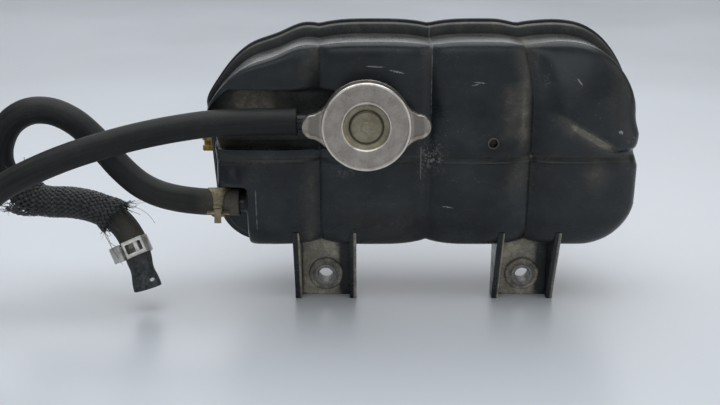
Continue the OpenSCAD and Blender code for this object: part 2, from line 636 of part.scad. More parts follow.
// Routes of the hoses, from the tank outward, in the order in which coolant would run
feed_route = [[-136, -4, 59], [-150, -4, 59], [-166, -4, 59.8], [-182, -4, 62], [-197, -3, 66], [-210, -2, 73],
    [-222, -1, 84], [-232, 0, 96], [-242, 0, 108], [-254, 0, 119], [-269, 0, 126], [-285, 0, 126],
    [-299, 0, 118], [-308, 1, 104], [-311, 3, 88], [-306, 5, 72], [-294, 5, 61], [-279, 4, 57], [-262, 2, 57],
    [-246, -1, 55], [-232, -4, 50], [-221, -8, 41], [-214, -12, 30], [-210, -16, 18], [-207, -20, 7],
    [-205, -23, -5]];
overflow_route = [[-91, -34, 126.5], [-110, -34, 126.5], [-130, -34, 126], [-150, -34, 125], [-170, -35, 122.5],
    [-190, -36, 119], [-210, -37, 114.5], [-230, -38, 109], [-250, -39, 102.5], [-270, -40, 94.5],
    [-290, -40, 84.5], [-308, -40, 72], [-322, -39, 57], [-332, -37, 41], [-339, -33, 25], [-344, -26, 10],
    [-347, -15, -1], [-349, 0, -6.5], [-350, 16, -8], [-350, 32, -8]];
braid_from = 16;
braid_to = 20;

function unit(v) = v / norm(v);
function smooth_at(p, i, t) = let(n = len(p) - 1, a = p[max(i - 1, 0)], b = p[i], c = p[min(i + 1, n)], d = p[min(i + 2, n)])
    0.5 * ((2 * b) + (c - a) * t + (2 * a - 5 * b + 4 * c - d) * t * t + (3 * b - a - 3 * c + d) * t * t * t);
function curve(p, steps) = concat([for (i = [0 : len(p) - 2], k = [0 : steps - 1]) smooth_at(p, i, k / steps)],
    [p[len(p) - 1]]);
function heading(c, i) = unit(c[min(i + 1, len(c) - 1)] - c[max(i - 1, 0)]);
function sideways(t) = unit(cross(t, [0, 1, 0.05]));
function ring_at(c, i, r, sides) = let(t = heading(c, i), u = sideways(t), v = cross(t, u))
    [for (k = [0 : sides - 1]) let(a = 360 * k / sides) c[i] + r * (cos(a) * u + sin(a) * v)];
module pipe(c, d, bore, sides) {
    n = len(c);
    outer = [for (i = [0 : n - 1]) each ring_at(c, i, d / 2, sides)];
    inner = [for (i = [0 : n - 1]) each ring_at(c, i, bore / 2, sides)];
    base = n * sides;
    last = (n - 1) * sides;
    polyhedron(points = concat(outer, inner), faces = concat(
        [for (i = [0 : n - 2], k = [0 : sides - 1]) let(a = i * sides + k, b = i * sides + (k + 1) % sides)
            each [[a, a + sides, b], [b, a + sides, b + sides],
                [base + a, base + b, base + a + sides], [base + b, base + b + sides, base + a + sides]]],
        [for (k = [0 : sides - 1]) let(b = (k + 1) % sides) each [
            [k, b, base + k], [b, base + b, base + k],
            [last + k, base + last + k, last + b], [last + b, base + last + k, base + last + b]]]));
}
hose_sides = 12;
module feed_hose() color(rubber) pipe(feed_route, feed_d, stub_d, hose_sides);
module overflow_hose() color(rubber) pipe(overflow_route, overflow_d, nipple_d, hose_sides);
module hose_braid() color([0.12, 0.12, 0.12]) pipe([for (i = [braid_from : braid_to]) feed_route[i]],
    braid_d, feed_d, hose_sides);

// Spring clamps: a band round the hose, with a window and two turned tabs
module band(d, width, tab, gap) {
    difference() {
        cylinder(d = d + 2 * band_t, h = width);
        translate([0, 0, -1]) cylinder(d = d, h = width + 2);
        translate([0, -gap / 2, -1]) cube([d, gap, width + 2]);
        translate([-d, -d / 5, width * 0.3]) cube([d, d / 2.5, width * 0.4]);
    }
    for (s = [-1, 1]) translate([d / 2 - 0.5, s * (gap / 2 + band_t / 2) - band_t / 2, 0])
        cube([tab, band_t, width]);
}
clamp_x = -147;
module feed_hose_clamp() color([0.5, 0.42, 0.33]) along_left(clamp_x, feed_y, stub_z)
    rotate(180) band(feed_d + 0.4, clamp_w, 6, 5);
end_clamp_at = 22;
module end_clamp() color("silver") {
    c = feed_route[end_clamp_at];
    t = heading(feed_route, end_clamp_at);
    u = sideways(t);
    v = cross(t, u);
    multmatrix([[u[0], v[0], t[0], c[0]], [u[1], v[1], t[1], c[1]], [u[2], v[2], t[2], c[2]], [0, 0, 0, 1]])
        translate([0, 0, -end_clamp_w / 2]) rotate(180) band(feed_d + 0.6, end_clamp_w, 8, 6);
}

front_shell();
rear_shell();
left_grommet();
right_grommet();
left_sleeve();
right_sleeve();
cap_cover();
cap_rivet();
cap_diaphragm();
cap_gasket();
valve_cage();
pressure_spring();
pressure_plate();
pressure_seal();
vacuum_valve();
vacuum_spring();
port_plug();
port_plug_ring();
feed_hose();
feed_hose_clamp();
hose_braid();
end_clamp();
overflow_hose();
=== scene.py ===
"""A car's coolant expansion tank with its pressure cap, hoses and rubber mounts.

Run as a script, it loads the packed model as a fixed frame and dresses it. Lengths are in metres:
X runs along the tank, Y from its front to its back and Z up. The origin is the middle of the two bolt holes.
"""
import math
import random
from contextlib import contextmanager

import bmesh
import bpy
from mathutils import Matrix, Vector


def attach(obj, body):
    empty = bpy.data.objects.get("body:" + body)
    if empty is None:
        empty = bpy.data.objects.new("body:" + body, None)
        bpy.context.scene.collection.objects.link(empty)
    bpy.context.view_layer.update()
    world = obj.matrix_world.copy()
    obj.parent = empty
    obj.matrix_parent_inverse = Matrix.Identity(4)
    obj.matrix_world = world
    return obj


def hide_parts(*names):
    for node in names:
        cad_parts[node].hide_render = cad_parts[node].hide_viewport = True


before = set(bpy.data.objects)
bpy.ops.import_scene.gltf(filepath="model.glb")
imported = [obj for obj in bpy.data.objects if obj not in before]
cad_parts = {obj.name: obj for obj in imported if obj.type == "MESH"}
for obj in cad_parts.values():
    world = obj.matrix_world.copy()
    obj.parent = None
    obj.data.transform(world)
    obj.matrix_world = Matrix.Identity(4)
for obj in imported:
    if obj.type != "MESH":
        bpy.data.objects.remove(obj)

bl_info = {
    "name": "Coolant Expansion Tank",
    "version": (1, 0, 0),
    "blender": (4, 5, 0),
    "location": "3D View > Sidebar > Tank",
    "description": "Builds a coolant expansion tank with its pressure cap, hoses, clamps and rubber mounts",
    "category": "Add Mesh",
}

MM = 0.001
TANK, CAP = "tank", "cap"
TO_FRONT, TO_BACK, TO_LEFT = Vector((0, -1, 0)), Vector((0, 1, 0)), Vector((-1, 0, 0))
SIDEWAYS, UPWARD = Vector((1, 0, 0)), Vector((0, 0, 1))

# Routes of the hoses, from the tank outward, in millimetres. They are those of the part's source, but the
# last two points of the feed hose end it a few millimetres earlier.
FEED_ROUTE = [
    (-136, -4, 59), (-150, -4, 59), (-166, -4, 59.8), (-182, -4, 62), (-197, -3, 66), (-210, -2, 73),
    (-222, -1, 84), (-232, 0, 96), (-242, 0, 108), (-254, 0, 119), (-269, 0, 126), (-285, 0, 126),
    (-299, 0, 118), (-308, 1, 104), (-311, 3, 88), (-306, 5, 72), (-294, 5, 61), (-279, 4, 57),
    (-262, 2, 57), (-246, -1, 55), (-232, -4, 50), (-221, -8, 41), (-214, -12, 30), (-210, -16, 18),
    (-206.4, -20, 7), (-203.8, -22.4, -1.6)]
OVERFLOW_ROUTE = [
    (-91, -34, 126.5), (-110, -34, 126.5), (-130, -34, 126), (-150, -34, 125), (-170, -35, 122.5),
    (-190, -36, 119), (-210, -37, 114.5), (-230, -38, 109), (-250, -39, 102.5), (-270, -40, 94.5),
    (-290, -40, 84.5), (-308, -40, 72), (-322, -39, 57), (-332, -37, 41), (-339, -33, 25),
    (-344, -26, 10), (-347, -15, -1), (-349, 0, -6.5), (-350, 16, -8), (-350, 32, -8)]
BRAID_FROM, BRAID_TO = 16, 20
END_CLAMP_AT = 22
GATE_X, GATE_Z = 0.044, 0.110


def length(name, default, description, low=0.0):
    return bpy.props.FloatProperty(
        name=name, description=description, default=default, min=low, unit="LENGTH", subtype="DISTANCE",
        precision=4)


def share(name, default, description):
    return bpy.props.FloatProperty(
        name=name, description=description, default=default, min=0.0, max=1.0, subtype="FACTOR")


def colour(name, default, description):
    return bpy.props.FloatVectorProperty(
        name=name, description=description, default=default, size=3, min=0.0, max=1.0, subtype="COLOR")


class TankSizes(bpy.types.PropertyGroup):
    """Sizes of the tank's two moulded halves"""
    body_w: length("Body length", 0.300, "Length of the body between its end walls")
    body_h: length("Body height", 0.151, "Height of the body, without its welded flange")
    body_z: length("Body height above the bolts", 0.027, "Height of the body's underside above the bolts")
    front_depth: length(
        "Front depth", 0.046, "Depth of the front half, from the weld to the crown of the lobes")
    rear_depth: length("Rear depth", 0.062, "Depth of the rear half")
    weld_y: length("Weld", 0.016, "Distance of the weld behind the bolt heads' seat")
    flange_t: length("Flange thickness", 0.003, "Thickness of each half's weld flange")
    flange_top: length("Flange above", 0.010, "Reach of the weld flange above the body")
    flange_side: length("Flange at the left", 0.005, "Reach of the weld flange at the left end and below")
    flange_right: length("Flange at the right", 0.003, "Reach of the weld flange at the right end")
    groove_1: length("First groove", -0.077, "Place of the groove between the first and the second lobe", -1)
    groove_2: length("Second groove", 0.0, "Place of the groove in the middle", -1)
    groove_3: length("Third groove", 0.072, "Place of the groove before the right lobe", -1)
    groove_depth: length("Groove depth", 0.006, "Depth of the grooves between the lobes")
    scallop: length("Scallop", 0.003, "Rise of each lobe in the top outline")
    waist_z: length("Long groove", 0.099, "Height of the long groove across the lobes")
    waist_depth: length("Long groove depth", 0.002, "Depth of the long groove")
    dome_rise: length("Dome", 0.005, "How far the upper right lobe stands out")
    channel_z0: length("Channel from", 0.107, "Underside of the channel in the left lobe")
    channel_z1: length("Channel to", 0.146, "Top of the channel in the left lobe")
    channel_end: length("Channel end", -0.0675, "Where the channel ends beside the neck", -1)
    channel_depth: length("Channel depth", 0.016, "Depth of the channel below the crown of the lobes")
    notch_x: length("Notch end", -0.130, "Where the lower left notch ends", -1)
    notch_z: length("Notch top", 0.0755, "Top of the lower left notch")
    notch_floor: length("Notch floor", 0.009, "How far the notch's floor stands in front of the weld")


class FittingSizes(bpy.types.PropertyGroup):
    """Sizes of the neck, the brackets and the side plug"""
    neck_x: length("Neck", -0.044, "Place of the neck along the tank", -1)
    neck_z: length("Neck height", 0.1265, "Height of the neck's axis above the bolts")
    neck_bore: length("Neck bore", 0.038, "Bore of the neck")
    neck_wall: length("Neck wall", 0.0035, "Wall of the neck")
    rim_h: length("Neck rim", 0.048, "Distance of the neck's rim in front of the bolt heads' seat")
    nipple_d: length("Nipple", 0.0112, "Outer diameter of the overflow nipple")
    stub_d: length("Stub", 0.014, "Outer diameter of the feed stub")
    bolt_spacing: length("Bolt spacing", 0.148, "Distance between the two bolts")
    bracket_w: length("Bracket width", 0.036, "Inner width of each bracket")
    plate_t: length("Plate", 0.004, "Thickness of the bracket plate")
    rib_t: length("Rib", 0.005, "Thickness of the bracket ribs")
    foot_drop: length("Foot", 0.0175, "How far the brackets reach below the bolts")
    plug_z: length("Plug height", 0.094, "Height of the side plug above the bolts")
    plug_d: length("Plug", 0.017, "Diameter of the side plug's collar")


class CapSizes(bpy.types.PropertyGroup):
    """Sizes of the pressure cap"""
    cap_d: length("Cap", 0.0608, "Diameter of the cap")
    cap_sheet: length("Sheet", 0.001, "Sheet of the cap")
    cap_skirt: length("Skirt", 0.0095, "Height of the cap's skirt")
    ear_reach: length("Ear reach", 0.0348, "Distance from the cap's middle to the middle of each ear's tip")
    ear_r: length("Ear radius", 0.0087, "Radius of the ears' tips")
    ear_lip: length("Ear edge", 0.006, "Depth of the ears' turned edge")
    dish_d: length("Sunk ring", 0.032, "Diameter of the sunk ring in the cap's top")
    boss_d: length("Raised middle", 0.0226, "Diameter of the raised middle")
    cover_h: length("Cover", 0.052, "Distance of the cap's top in front of the bolt heads' seat")


class HoseSizes(bpy.types.PropertyGroup):
    """Sizes of the hoses and their clamps"""
    feed_d: length("Feed hose", 0.0196, "Outer diameter of the feed hose")
    overflow_d: length("Overflow hose", 0.0186, "Outer diameter of the overflow hose")
    hose_wall: length("Hose wall", 0.0034, "Wall of the hoses")
    feed_length: length("Feed hose length", 0.388, "Length of the feed hose along its middle")
    overflow_length: length("Overflow hose length", 0.368, "Length of the overflow hose along its middle")
    strands: bpy.props.IntProperty(
        name="Strands", description="Strands of the braided sleeve in each direction", default=21,
        min=8, max=32)
    clamp_w: length("Stub clamp width", 0.010, "Width of the clamp at the stub")
    end_clamp_w: length("End clamp width", 0.0125, "Width of the clamp at the free end")


class FinishColours(bpy.types.PropertyGroup):
    """Colours of the finishes"""
    plastic: colour("Tank plastic", (0.0110, 0.0140, 0.0160), "Black plastic of the tank")
    # This colour, made paler, also serves for the painted highlights and painted reflections on the tank and
    # brackets.
    dust: colour("Dust", (0.175, 0.158, 0.125), "Dried dust and coolant film")
    scuff: colour("Scuffs", (0.42, 0.43, 0.43), "Pale marks where the plastic was rubbed")
    rubber: colour("Hose rubber", (0.0105, 0.0115, 0.0125), "Black rubber of the hoses")
    steel: colour("Cap steel", (0.415, 0.370, 0.325), "Plated steel of the cap")
    tan_steel: colour("Stub clamp", (0.27, 0.228, 0.145), "Yellowed plating of the clamp at the stub")
    bright_steel: colour("End clamp", (0.62, 0.61, 0.57), "Bright plating of the clamp at the free end")
    yellow: colour("Side plug", (0.50, 0.335, 0.06), "Yellow plastic of the side plug")
    table: colour("Floor", (0.525, 0.550, 0.585), "Pale floor and backdrop")


# Modelling steps that several pieces share

def only(*objects):
    """Leave just these objects selected, the first of them active."""
    bpy.ops.object.select_all(action="DESELECT")
    for obj in objects:
        obj.select_set(True)
    bpy.context.view_layer.objects.active = objects[0]


@contextmanager
def editing(obj):
    only(obj)
    bpy.ops.object.mode_set(mode="EDIT")
    bpy.ops.mesh.select_all(action="SELECT")
    yield
    bpy.ops.object.mode_set(mode="OBJECT")


def named(name):
    obj = bpy.context.active_object
    obj.name = obj.data.name = name
    return obj


def apply_modifier(obj, name, kind, **settings):
    only(obj)
    modifier = obj.modifiers.new(name, kind)
    for key, value in settings.items():
        setattr(modifier, key, value)
    bpy.ops.object.modifier_apply(modifier=modifier.name)


def joined(name, *pieces):
    only(*pieces)
    bpy.ops.object.join()
    return named(name)


def put_at_origin(obj):
    only(obj)
    bpy.ops.object.transform_apply(location=True, rotation=True, scale=True)


def outward(obj, merge=0.00001):
    with editing(obj):
        bpy.ops.mesh.remove_doubles(threshold=merge)
        bpy.ops.mesh.normals_make_consistent(inside=False)


def bevelled(obj, width, segments=2, angle=35):
    apply_modifier(obj, "Edges", "BEVEL", width=width, segments=segments, limit_method="ANGLE",
                   angle_limit=math.radians(angle), harden_normals=False)


def smoothed(obj, angle=32):
    only(obj)
    bpy.ops.object.shade_smooth_by_angle(angle=math.radians(angle))


def finished(obj, body, material, replaces=(), angle=32):
    """Give a piece its material and its body, and shade it."""
    smoothed(obj, angle)
    obj.data.materials.clear()
    obj.data.materials.append(material)
    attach(obj, body)
    if replaces:
        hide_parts(*replaces)
    return obj


def filleted(corners, radius, segments=4, closed=False):
    """A line whose corners are rounded. A corner's third number, where it has one, is its own radius."""
    count = len(corners)
    line = []
    for i, corner in enumerate(corners):
        r = corner[2] if len(corner) > 2 else radius
        here = Vector(corner[:2])
        if (not closed and i in (0, count - 1)) or r == 0:
            line.append(here)
            continue
        before, after = Vector(corners[i - 1][:2]), Vector(corners[(i + 1) % count][:2])
        reach = min(r, (before - here).length * 0.45, (after - here).length * 0.45)
        start, end = here + (before - here).normalized() * reach, here + (after - here).normalized() * reach
        for k in range(segments + 1):
            t = k / segments
            line.append(start * (1 - t) ** 2 + here * 2 * t * (1 - t) + end * t * t)
    return line


def turned(name, profile, centre, axis, start, steps=64):
    """A turned piece: a line of (radius, height) spun round an axis."""
    mesh = bpy.data.meshes.new(name)
    mesh.from_pydata([centre + start * r + axis * h for r, h in profile],
                     [(i, i + 1) for i in range(len(profile) - 1)], [])
    obj = bpy.data.objects.new(name, mesh)
    bpy.context.scene.collection.objects.link(obj)
    with editing(obj):
        bpy.ops.mesh.spin(steps=steps, angle=2 * math.pi, center=centre, axis=axis)
    outward(obj)
    return obj


def slab(name, outline, depth, edge, segments=2):
    """A plate: a filled outline that is extruded and has its edges rounded."""
    bpy.ops.mesh.primitive_circle_add(vertices=len(outline), fill_type="NGON")
    obj = named(name)
    for vertex, place in zip(obj.data.vertices, outline):
        vertex.co = place
    put_at_origin(obj)
    with editing(obj):
        bpy.ops.mesh.extrude_region_move(TRANSFORM_OT_translate={"value": depth})
        bpy.ops.mesh.select_all(action="SELECT")
        bpy.ops.mesh.normals_make_consistent(inside=False)
    if edge:
        bevelled(obj, edge, segments)
    return obj


def block(name, low, high, edge, segments=2):
    """A block between two corners, with rounded edges."""
    low, high = Vector(low), Vector(high)
    bpy.ops.mesh.primitive_cube_add(size=1, location=(low + high) / 2)
    obj = named(name)
    obj.scale = high - low
    put_at_origin(obj)
    bevelled(obj, edge, segments)
    return obj


def drilled(obj, centre, axis, radius, reach):
    """Cut a round hole through a piece."""
    bpy.ops.mesh.primitive_cylinder_add(vertices=64, radius=radius, depth=reach, location=centre,
                                        rotation=UPWARD.rotation_difference(axis).to_euler())
    drill = named("drill")
    put_at_origin(drill)
    apply_modifier(obj, "Hole", "BOOLEAN", operation="DIFFERENCE", object=drill, solver="EXACT")
    bpy.data.objects.remove(drill)


def paint(obj, name, amount):
    """Keep a share from 0 to 1 at every point of a piece, for its material to read."""
    layer = obj.data.attributes.new(name, "FLOAT", "POINT")
    layer.data.foreach_set("value", [amount(v.co, v.normal) for v in obj.data.vertices])


# The form of the two halves

def clamp01(t):
    return min(max(t, 0.0), 1.0)


def smooth(t):
    u = clamp01(t)
    return u * u * (3 - 2 * u)


def fall(t, power):
    return 1 - (1 - clamp01(t) ** power) ** (1 / power)


def bulge(u, power):
    return (1 - min(abs(u), 1.0) ** power) ** (1 / power)


def between(z, stations, places):
    """The place that belongs to z, from two rows of numbers."""
    if z <= stations[0]:
        return places[0]
    for a, b, c, d in zip(stations, stations[1:], places, places[1:]):
        if z <= b:
            return c + (d - c) * (z - a) / (b - a)
    return places[-1]


class TankForm:
    """Outline and depth of the tank at any place, from its sizes."""

    LEFT_TOP_RUN, LEFT_TOP_FALL, RIGHT_TOP_RUN, RIGHT_TOP_FALL = 0.065, 0.050, 0.062, 0.058
    LEFT_FOOT, RIGHT_FOOT = 0.028, 0.038
    LOW_KNEE, RIDGE_KNEE, HIGH_KNEE = 0.062, 0.126, 0.1505
    KNEE_GAP, RIDGE_GAP, WAIST_HALF = 0.004, 0.006, 0.0035
    NONE = (0.0, 0.0, 0.0, 0.0)

    def __init__(self, sizes):
        self.s = s = sizes
        self.half_w, self.half_h = s.body_w / 2, s.body_h / 2
        self.mid, self.top = s.body_z + s.body_h / 2, s.body_z + s.body_h
        self.ends = (-self.half_w, s.groove_1, s.groove_2, s.groove_3, self.half_w)
        self.flange = (s.flange_side, s.flange_right, s.flange_top, s.flange_side)

    def lobe(self, x):
        """How far a place is from the middle of its lobe, from 0 to 1."""
        k = 0 if x < self.ends[1] else 1 if x < self.ends[2] else 2 if x < self.ends[3] else 3
        u = 2 * (x - self.ends[k]) / (self.ends[k + 1] - self.ends[k]) - 1
        return 0.0 if (k == 0 and u < 0) or (k == 3 and u > 0) else min(abs(u), 1.0)

    def top_z(self, x, out):
        w = self.half_w
        return (self.top + out[2] + self.s.scallop * (0.6 - self.lobe(x) ** 3)
                - (self.LEFT_TOP_FALL + out[2])
                * fall((-w + self.LEFT_TOP_RUN - x) / (self.LEFT_TOP_RUN + out[0]), 1.7)
                - 0.0048 * math.exp(-((x + w - 0.043) / 0.017) ** 2)
                - (self.RIGHT_TOP_FALL + out[2])
                * fall((x - w + self.RIGHT_TOP_RUN) / (self.RIGHT_TOP_RUN + out[1]), 2))

    def bottom_z(self, x, out):
        w = self.half_w
        return (self.s.body_z - out[3] + self.s.scallop * self.lobe(x) ** 3
                + (self.LEFT_FOOT + out[3]) * fall((-w + self.LEFT_FOOT - x) / (self.LEFT_FOOT + out[0]), 2)
                + (self.RIGHT_FOOT + out[3])
                * fall((x - w + self.RIGHT_FOOT) / (self.RIGHT_FOOT + out[1]), 2))

    def ridge(self, x):
        """Height of the slanting edge of the dome."""
        start, end = self.s.groove_3 + 0.014, self.half_w - 0.020
        if x < self.s.groove_3:
            return self.RIDGE_KNEE
        if x < start:
            return self.RIDGE_KNEE + 0.005 * (x - self.s.groove_3) / 0.014
        return 0.131 - 0.025 * min(1.0, (x - start) / (end - start))

    def knees(self, x, out):
        low, high = self.bottom_z(x, out), self.top_z(x, out)
        waist = self.s.waist_z + self.WAIST_HALF
        gap = self.KNEE_GAP if x < 0 else (high - waist) * (self.top - self.HIGH_KNEE) / (self.top - waist)
        knee = min(self.HIGH_KNEE, high - gap)
        return (low, max(self.LOW_KNEE, low + self.KNEE_GAP), waist,
                min(self.ridge(x), knee - self.RIDGE_GAP), knee, high)

    def stations(self, out):
        return (self.s.body_z - out[3], self.LOW_KNEE, self.s.waist_z + self.WAIST_HALF, self.RIDGE_KNEE,
                self.HIGH_KNEE, self.top + out[2])

    def row_z(self, x, z):
        return between(z, self.stations(self.NONE), self.knees(x, self.NONE))

    def round_end(self, x, z, top_power, foot_power):
        across = bulge(x / self.half_w, 12 if x < 0 else 7)
        return across * bulge((z - self.mid) / self.half_h, top_power if z > self.mid else foot_power)

    def dome(self, x, z):
        waist = self.s.waist_z + self.WAIST_HALF
        rise = (z - waist) / (self.RIDGE_KNEE - waist)
        return self.s.dome_rise * smooth((x - self.s.groove_3 - 0.004) / 0.018) * clamp01(rise)

    def dome_slope(self, x, h):
        """Above its slanting edge, the dome leans back to the top."""
        edge = self.ridge(x)
        return (0.0115 * smooth((x - self.s.groove_3 - 0.002) / 0.020)
                * clamp01((h - edge - 0.002) / (self.top - edge)) ** 1.25)

    def waist(self, x, z):
        depth = self.s.waist_depth * (0.5 if x < self.s.groove_2 else 1.0)
        near = abs(z - self.s.waist_z) / self.WAIST_HALF
        return depth * (0.75 * max(0.0, 1 - near) + 0.25 * math.exp(-near * near * 4))

    def channel(self, x, z):
        """How far a place lies in the hose channel, from 0 to 1 over its rounded lips."""
        lip = 0.0032
        return (smooth((self.s.channel_end - x) / lip + 0.5) * smooth((z - self.s.channel_z0) / lip + 0.5)
                * smooth((self.s.channel_z1 - z) / lip + 0.5))

    def notch(self, x, z):
        lip = 0.0028
        return smooth((self.s.notch_x - x) / lip + 0.5) * smooth((self.s.notch_z - z) / lip + 0.5)

    def side_step(self, x, z):
        """The left end is hollowed a little between the channel and the notch."""
        return (smooth((-0.1265 - x) / 0.010) * smooth((self.s.waist_z - 0.001 - z) / 0.005)
                * smooth((z - self.s.notch_z + 0.001) / 0.026))

    def notch_edge(self, x, z):
        """The face turns back towards the notch over a broad round edge."""
        return fall((self.s.notch_x + 0.0115 - x) / 0.0115, 2) * smooth((self.s.notch_z + 0.004 - z) / 0.008)

    def front(self, x, h):
        """Depth of the front half in front of the weld, at a real height h and its even height z."""
        s = self.s
        z = between(h, self.knees(x, self.NONE), self.stations(self.NONE))
        u = self.lobe(x)
        nearest = min(abs(x - g) for g in self.ends[1:4])
        depth = (s.front_depth - s.groove_depth * u ** 3.2 - 0.0012 * math.exp(-nearest / 0.0022)
                 - self.waist(x, z) + self.dome(x, z) - 0.0046 * self.side_step(x, z)
                 - 0.0048 * self.notch_edge(x, z) - self.dome_slope(x, h))
        in_channel, in_notch = self.channel(x, z), self.notch(x, z)
        depth += (s.front_depth - s.channel_depth - depth) * in_channel
        depth += (s.notch_floor - depth) * in_notch
        return s.flange_t + max(0.0, depth - s.flange_t) * self.round_end(x, z, 19, 4)

    def rear(self, x, h):
        s = self.s
        z = between(h, self.knees(x, self.NONE), self.stations(self.NONE))
        depth = s.rear_depth - s.flange_t - s.groove_depth / 2 * self.lobe(x) ** 4
        return s.flange_t + depth * self.round_end(x, z, 6, 4)

    def shifted(self, x, z):
        """The third groove leans to the left at the top, and the right end has a waist."""
        return (x - 0.010 * smooth((z - 0.135) / 0.060) * smooth(1 - abs(x - self.s.groove_3) / 0.034)
                - 0.004 * smooth((x - self.half_w + 0.026) / 0.026)
                * max(0.0, 1 - abs(z - self.s.waist_z - 0.003) / 0.012)
                - 0.0046 * smooth((z - 0.106) / 0.022) * smooth((x - self.half_w + 0.045) / 0.045)
                - 0.0052 * math.exp(-((z - 0.128) / 0.016) ** 2) * smooth((-self.half_w + 0.040 - x) / 0.036))

    def rim(self, share=1.0, steps=150):
        """Outline of the weld flange, once round, at a share of its reach."""
        out = [reach * share for reach in self.flange]
        left, right = -self.half_w - out[0], self.half_w + out[1]
        xs = [left + (right - left) * (0.5 - 0.5 * math.cos(math.pi * i / steps)) for i in range(steps + 1)]
        line = [(x, self.bottom_z(x, out)) for x in xs]
        line += [(x, self.top_z(x, out)) for x in reversed(xs)]
        return [(self.shifted(x, z), z) for x, z in line]


def even_places(low, high, step, edge):
    """Places from low to high, close together at both ends, where the form turns round."""
    near = []
    place, gap = 0.0, edge
    while gap < step:
        near.append(place)
        place += gap
        gap *= 1.35
    count = math.ceil((high - low - 2 * place) / step)
    middle = [low + place + (high - low - 2 * place) * i / count for i in range(count + 1)]
    return [low + n for n in near] + middle + [high - n for n in reversed(near)]


def moulded_half(name, form, depth_at, to_front, step, pits=()):
    """One half of the tank: a fine grid laid over the form, closed at the weld."""
    s = form.s
    columns = even_places(-form.half_w, form.half_w, step, 0.00012)
    rows = even_places(s.body_z, form.top, step, 0.00012)
    nx, nz = len(columns) - 1, len(rows) - 1
    bpy.ops.mesh.primitive_grid_add(x_subdivisions=nx, y_subdivisions=nz, size=1)
    half = named(name)
    weld = s.weld_y
    for vertex in half.data.vertices:
        x = columns[round((vertex.co.x + 0.5) * nx)]
        h = form.row_z(x, rows[round((vertex.co.y + 0.5) * nz)])
        depth = depth_at(x, h)
        for pit in pits:
            if math.hypot(x - pit[0], h - pit[1]) < pit[2]:
                depth = min(depth, pit[3])
        vertex.co = form.shifted(x, h), weld - depth if to_front else weld + depth, h
    rim = weld - 0.0004 if to_front else weld + 0.0004
    with editing(half):
        bpy.ops.mesh.select_all(action="DESELECT")
        bpy.ops.mesh.select_mode(type="EDGE")
        bpy.ops.mesh.select_non_manifold(use_wire=False, use_multi_face=False, use_non_contiguous=False,
                                         use_verts=False)
        bpy.ops.mesh.extrude_region_move()
        bpy.ops.transform.resize(value=(1, 0, 1), center_override=(0, rim, 0))
        bpy.ops.mesh.edge_face_add()
        bpy.ops.mesh.select_mode(type="VERT")
    outward(half, 0.000005)
    return half


def flange_ring(name, form, profile):
    """One half's weld flange round the whole seam. Its profile gives (y, share of the full reach) outside."""
    mesh = bpy.data.meshes.new(name)
    obj = bpy.data.objects.new(name, mesh)
    bpy.context.scene.collection.objects.link(obj)
    build = bmesh.new()
    rings = []
    for y, reach in profile + [(profile[-1][0], -0.35), (profile[0][0], -0.35)]:
        rings.append([build.verts.new((x, y, z)) for x, z in form.rim(reach)])
    for here, there in zip(rings, rings[1:] + rings[:1]):
        for k in range(len(here)):
            build.faces.new((here[k], here[k - 1], there[k - 1], there[k]))
    build.to_mesh(mesh)
    build.free()
    outward(obj, 0.000002)
    return obj


# Finishes

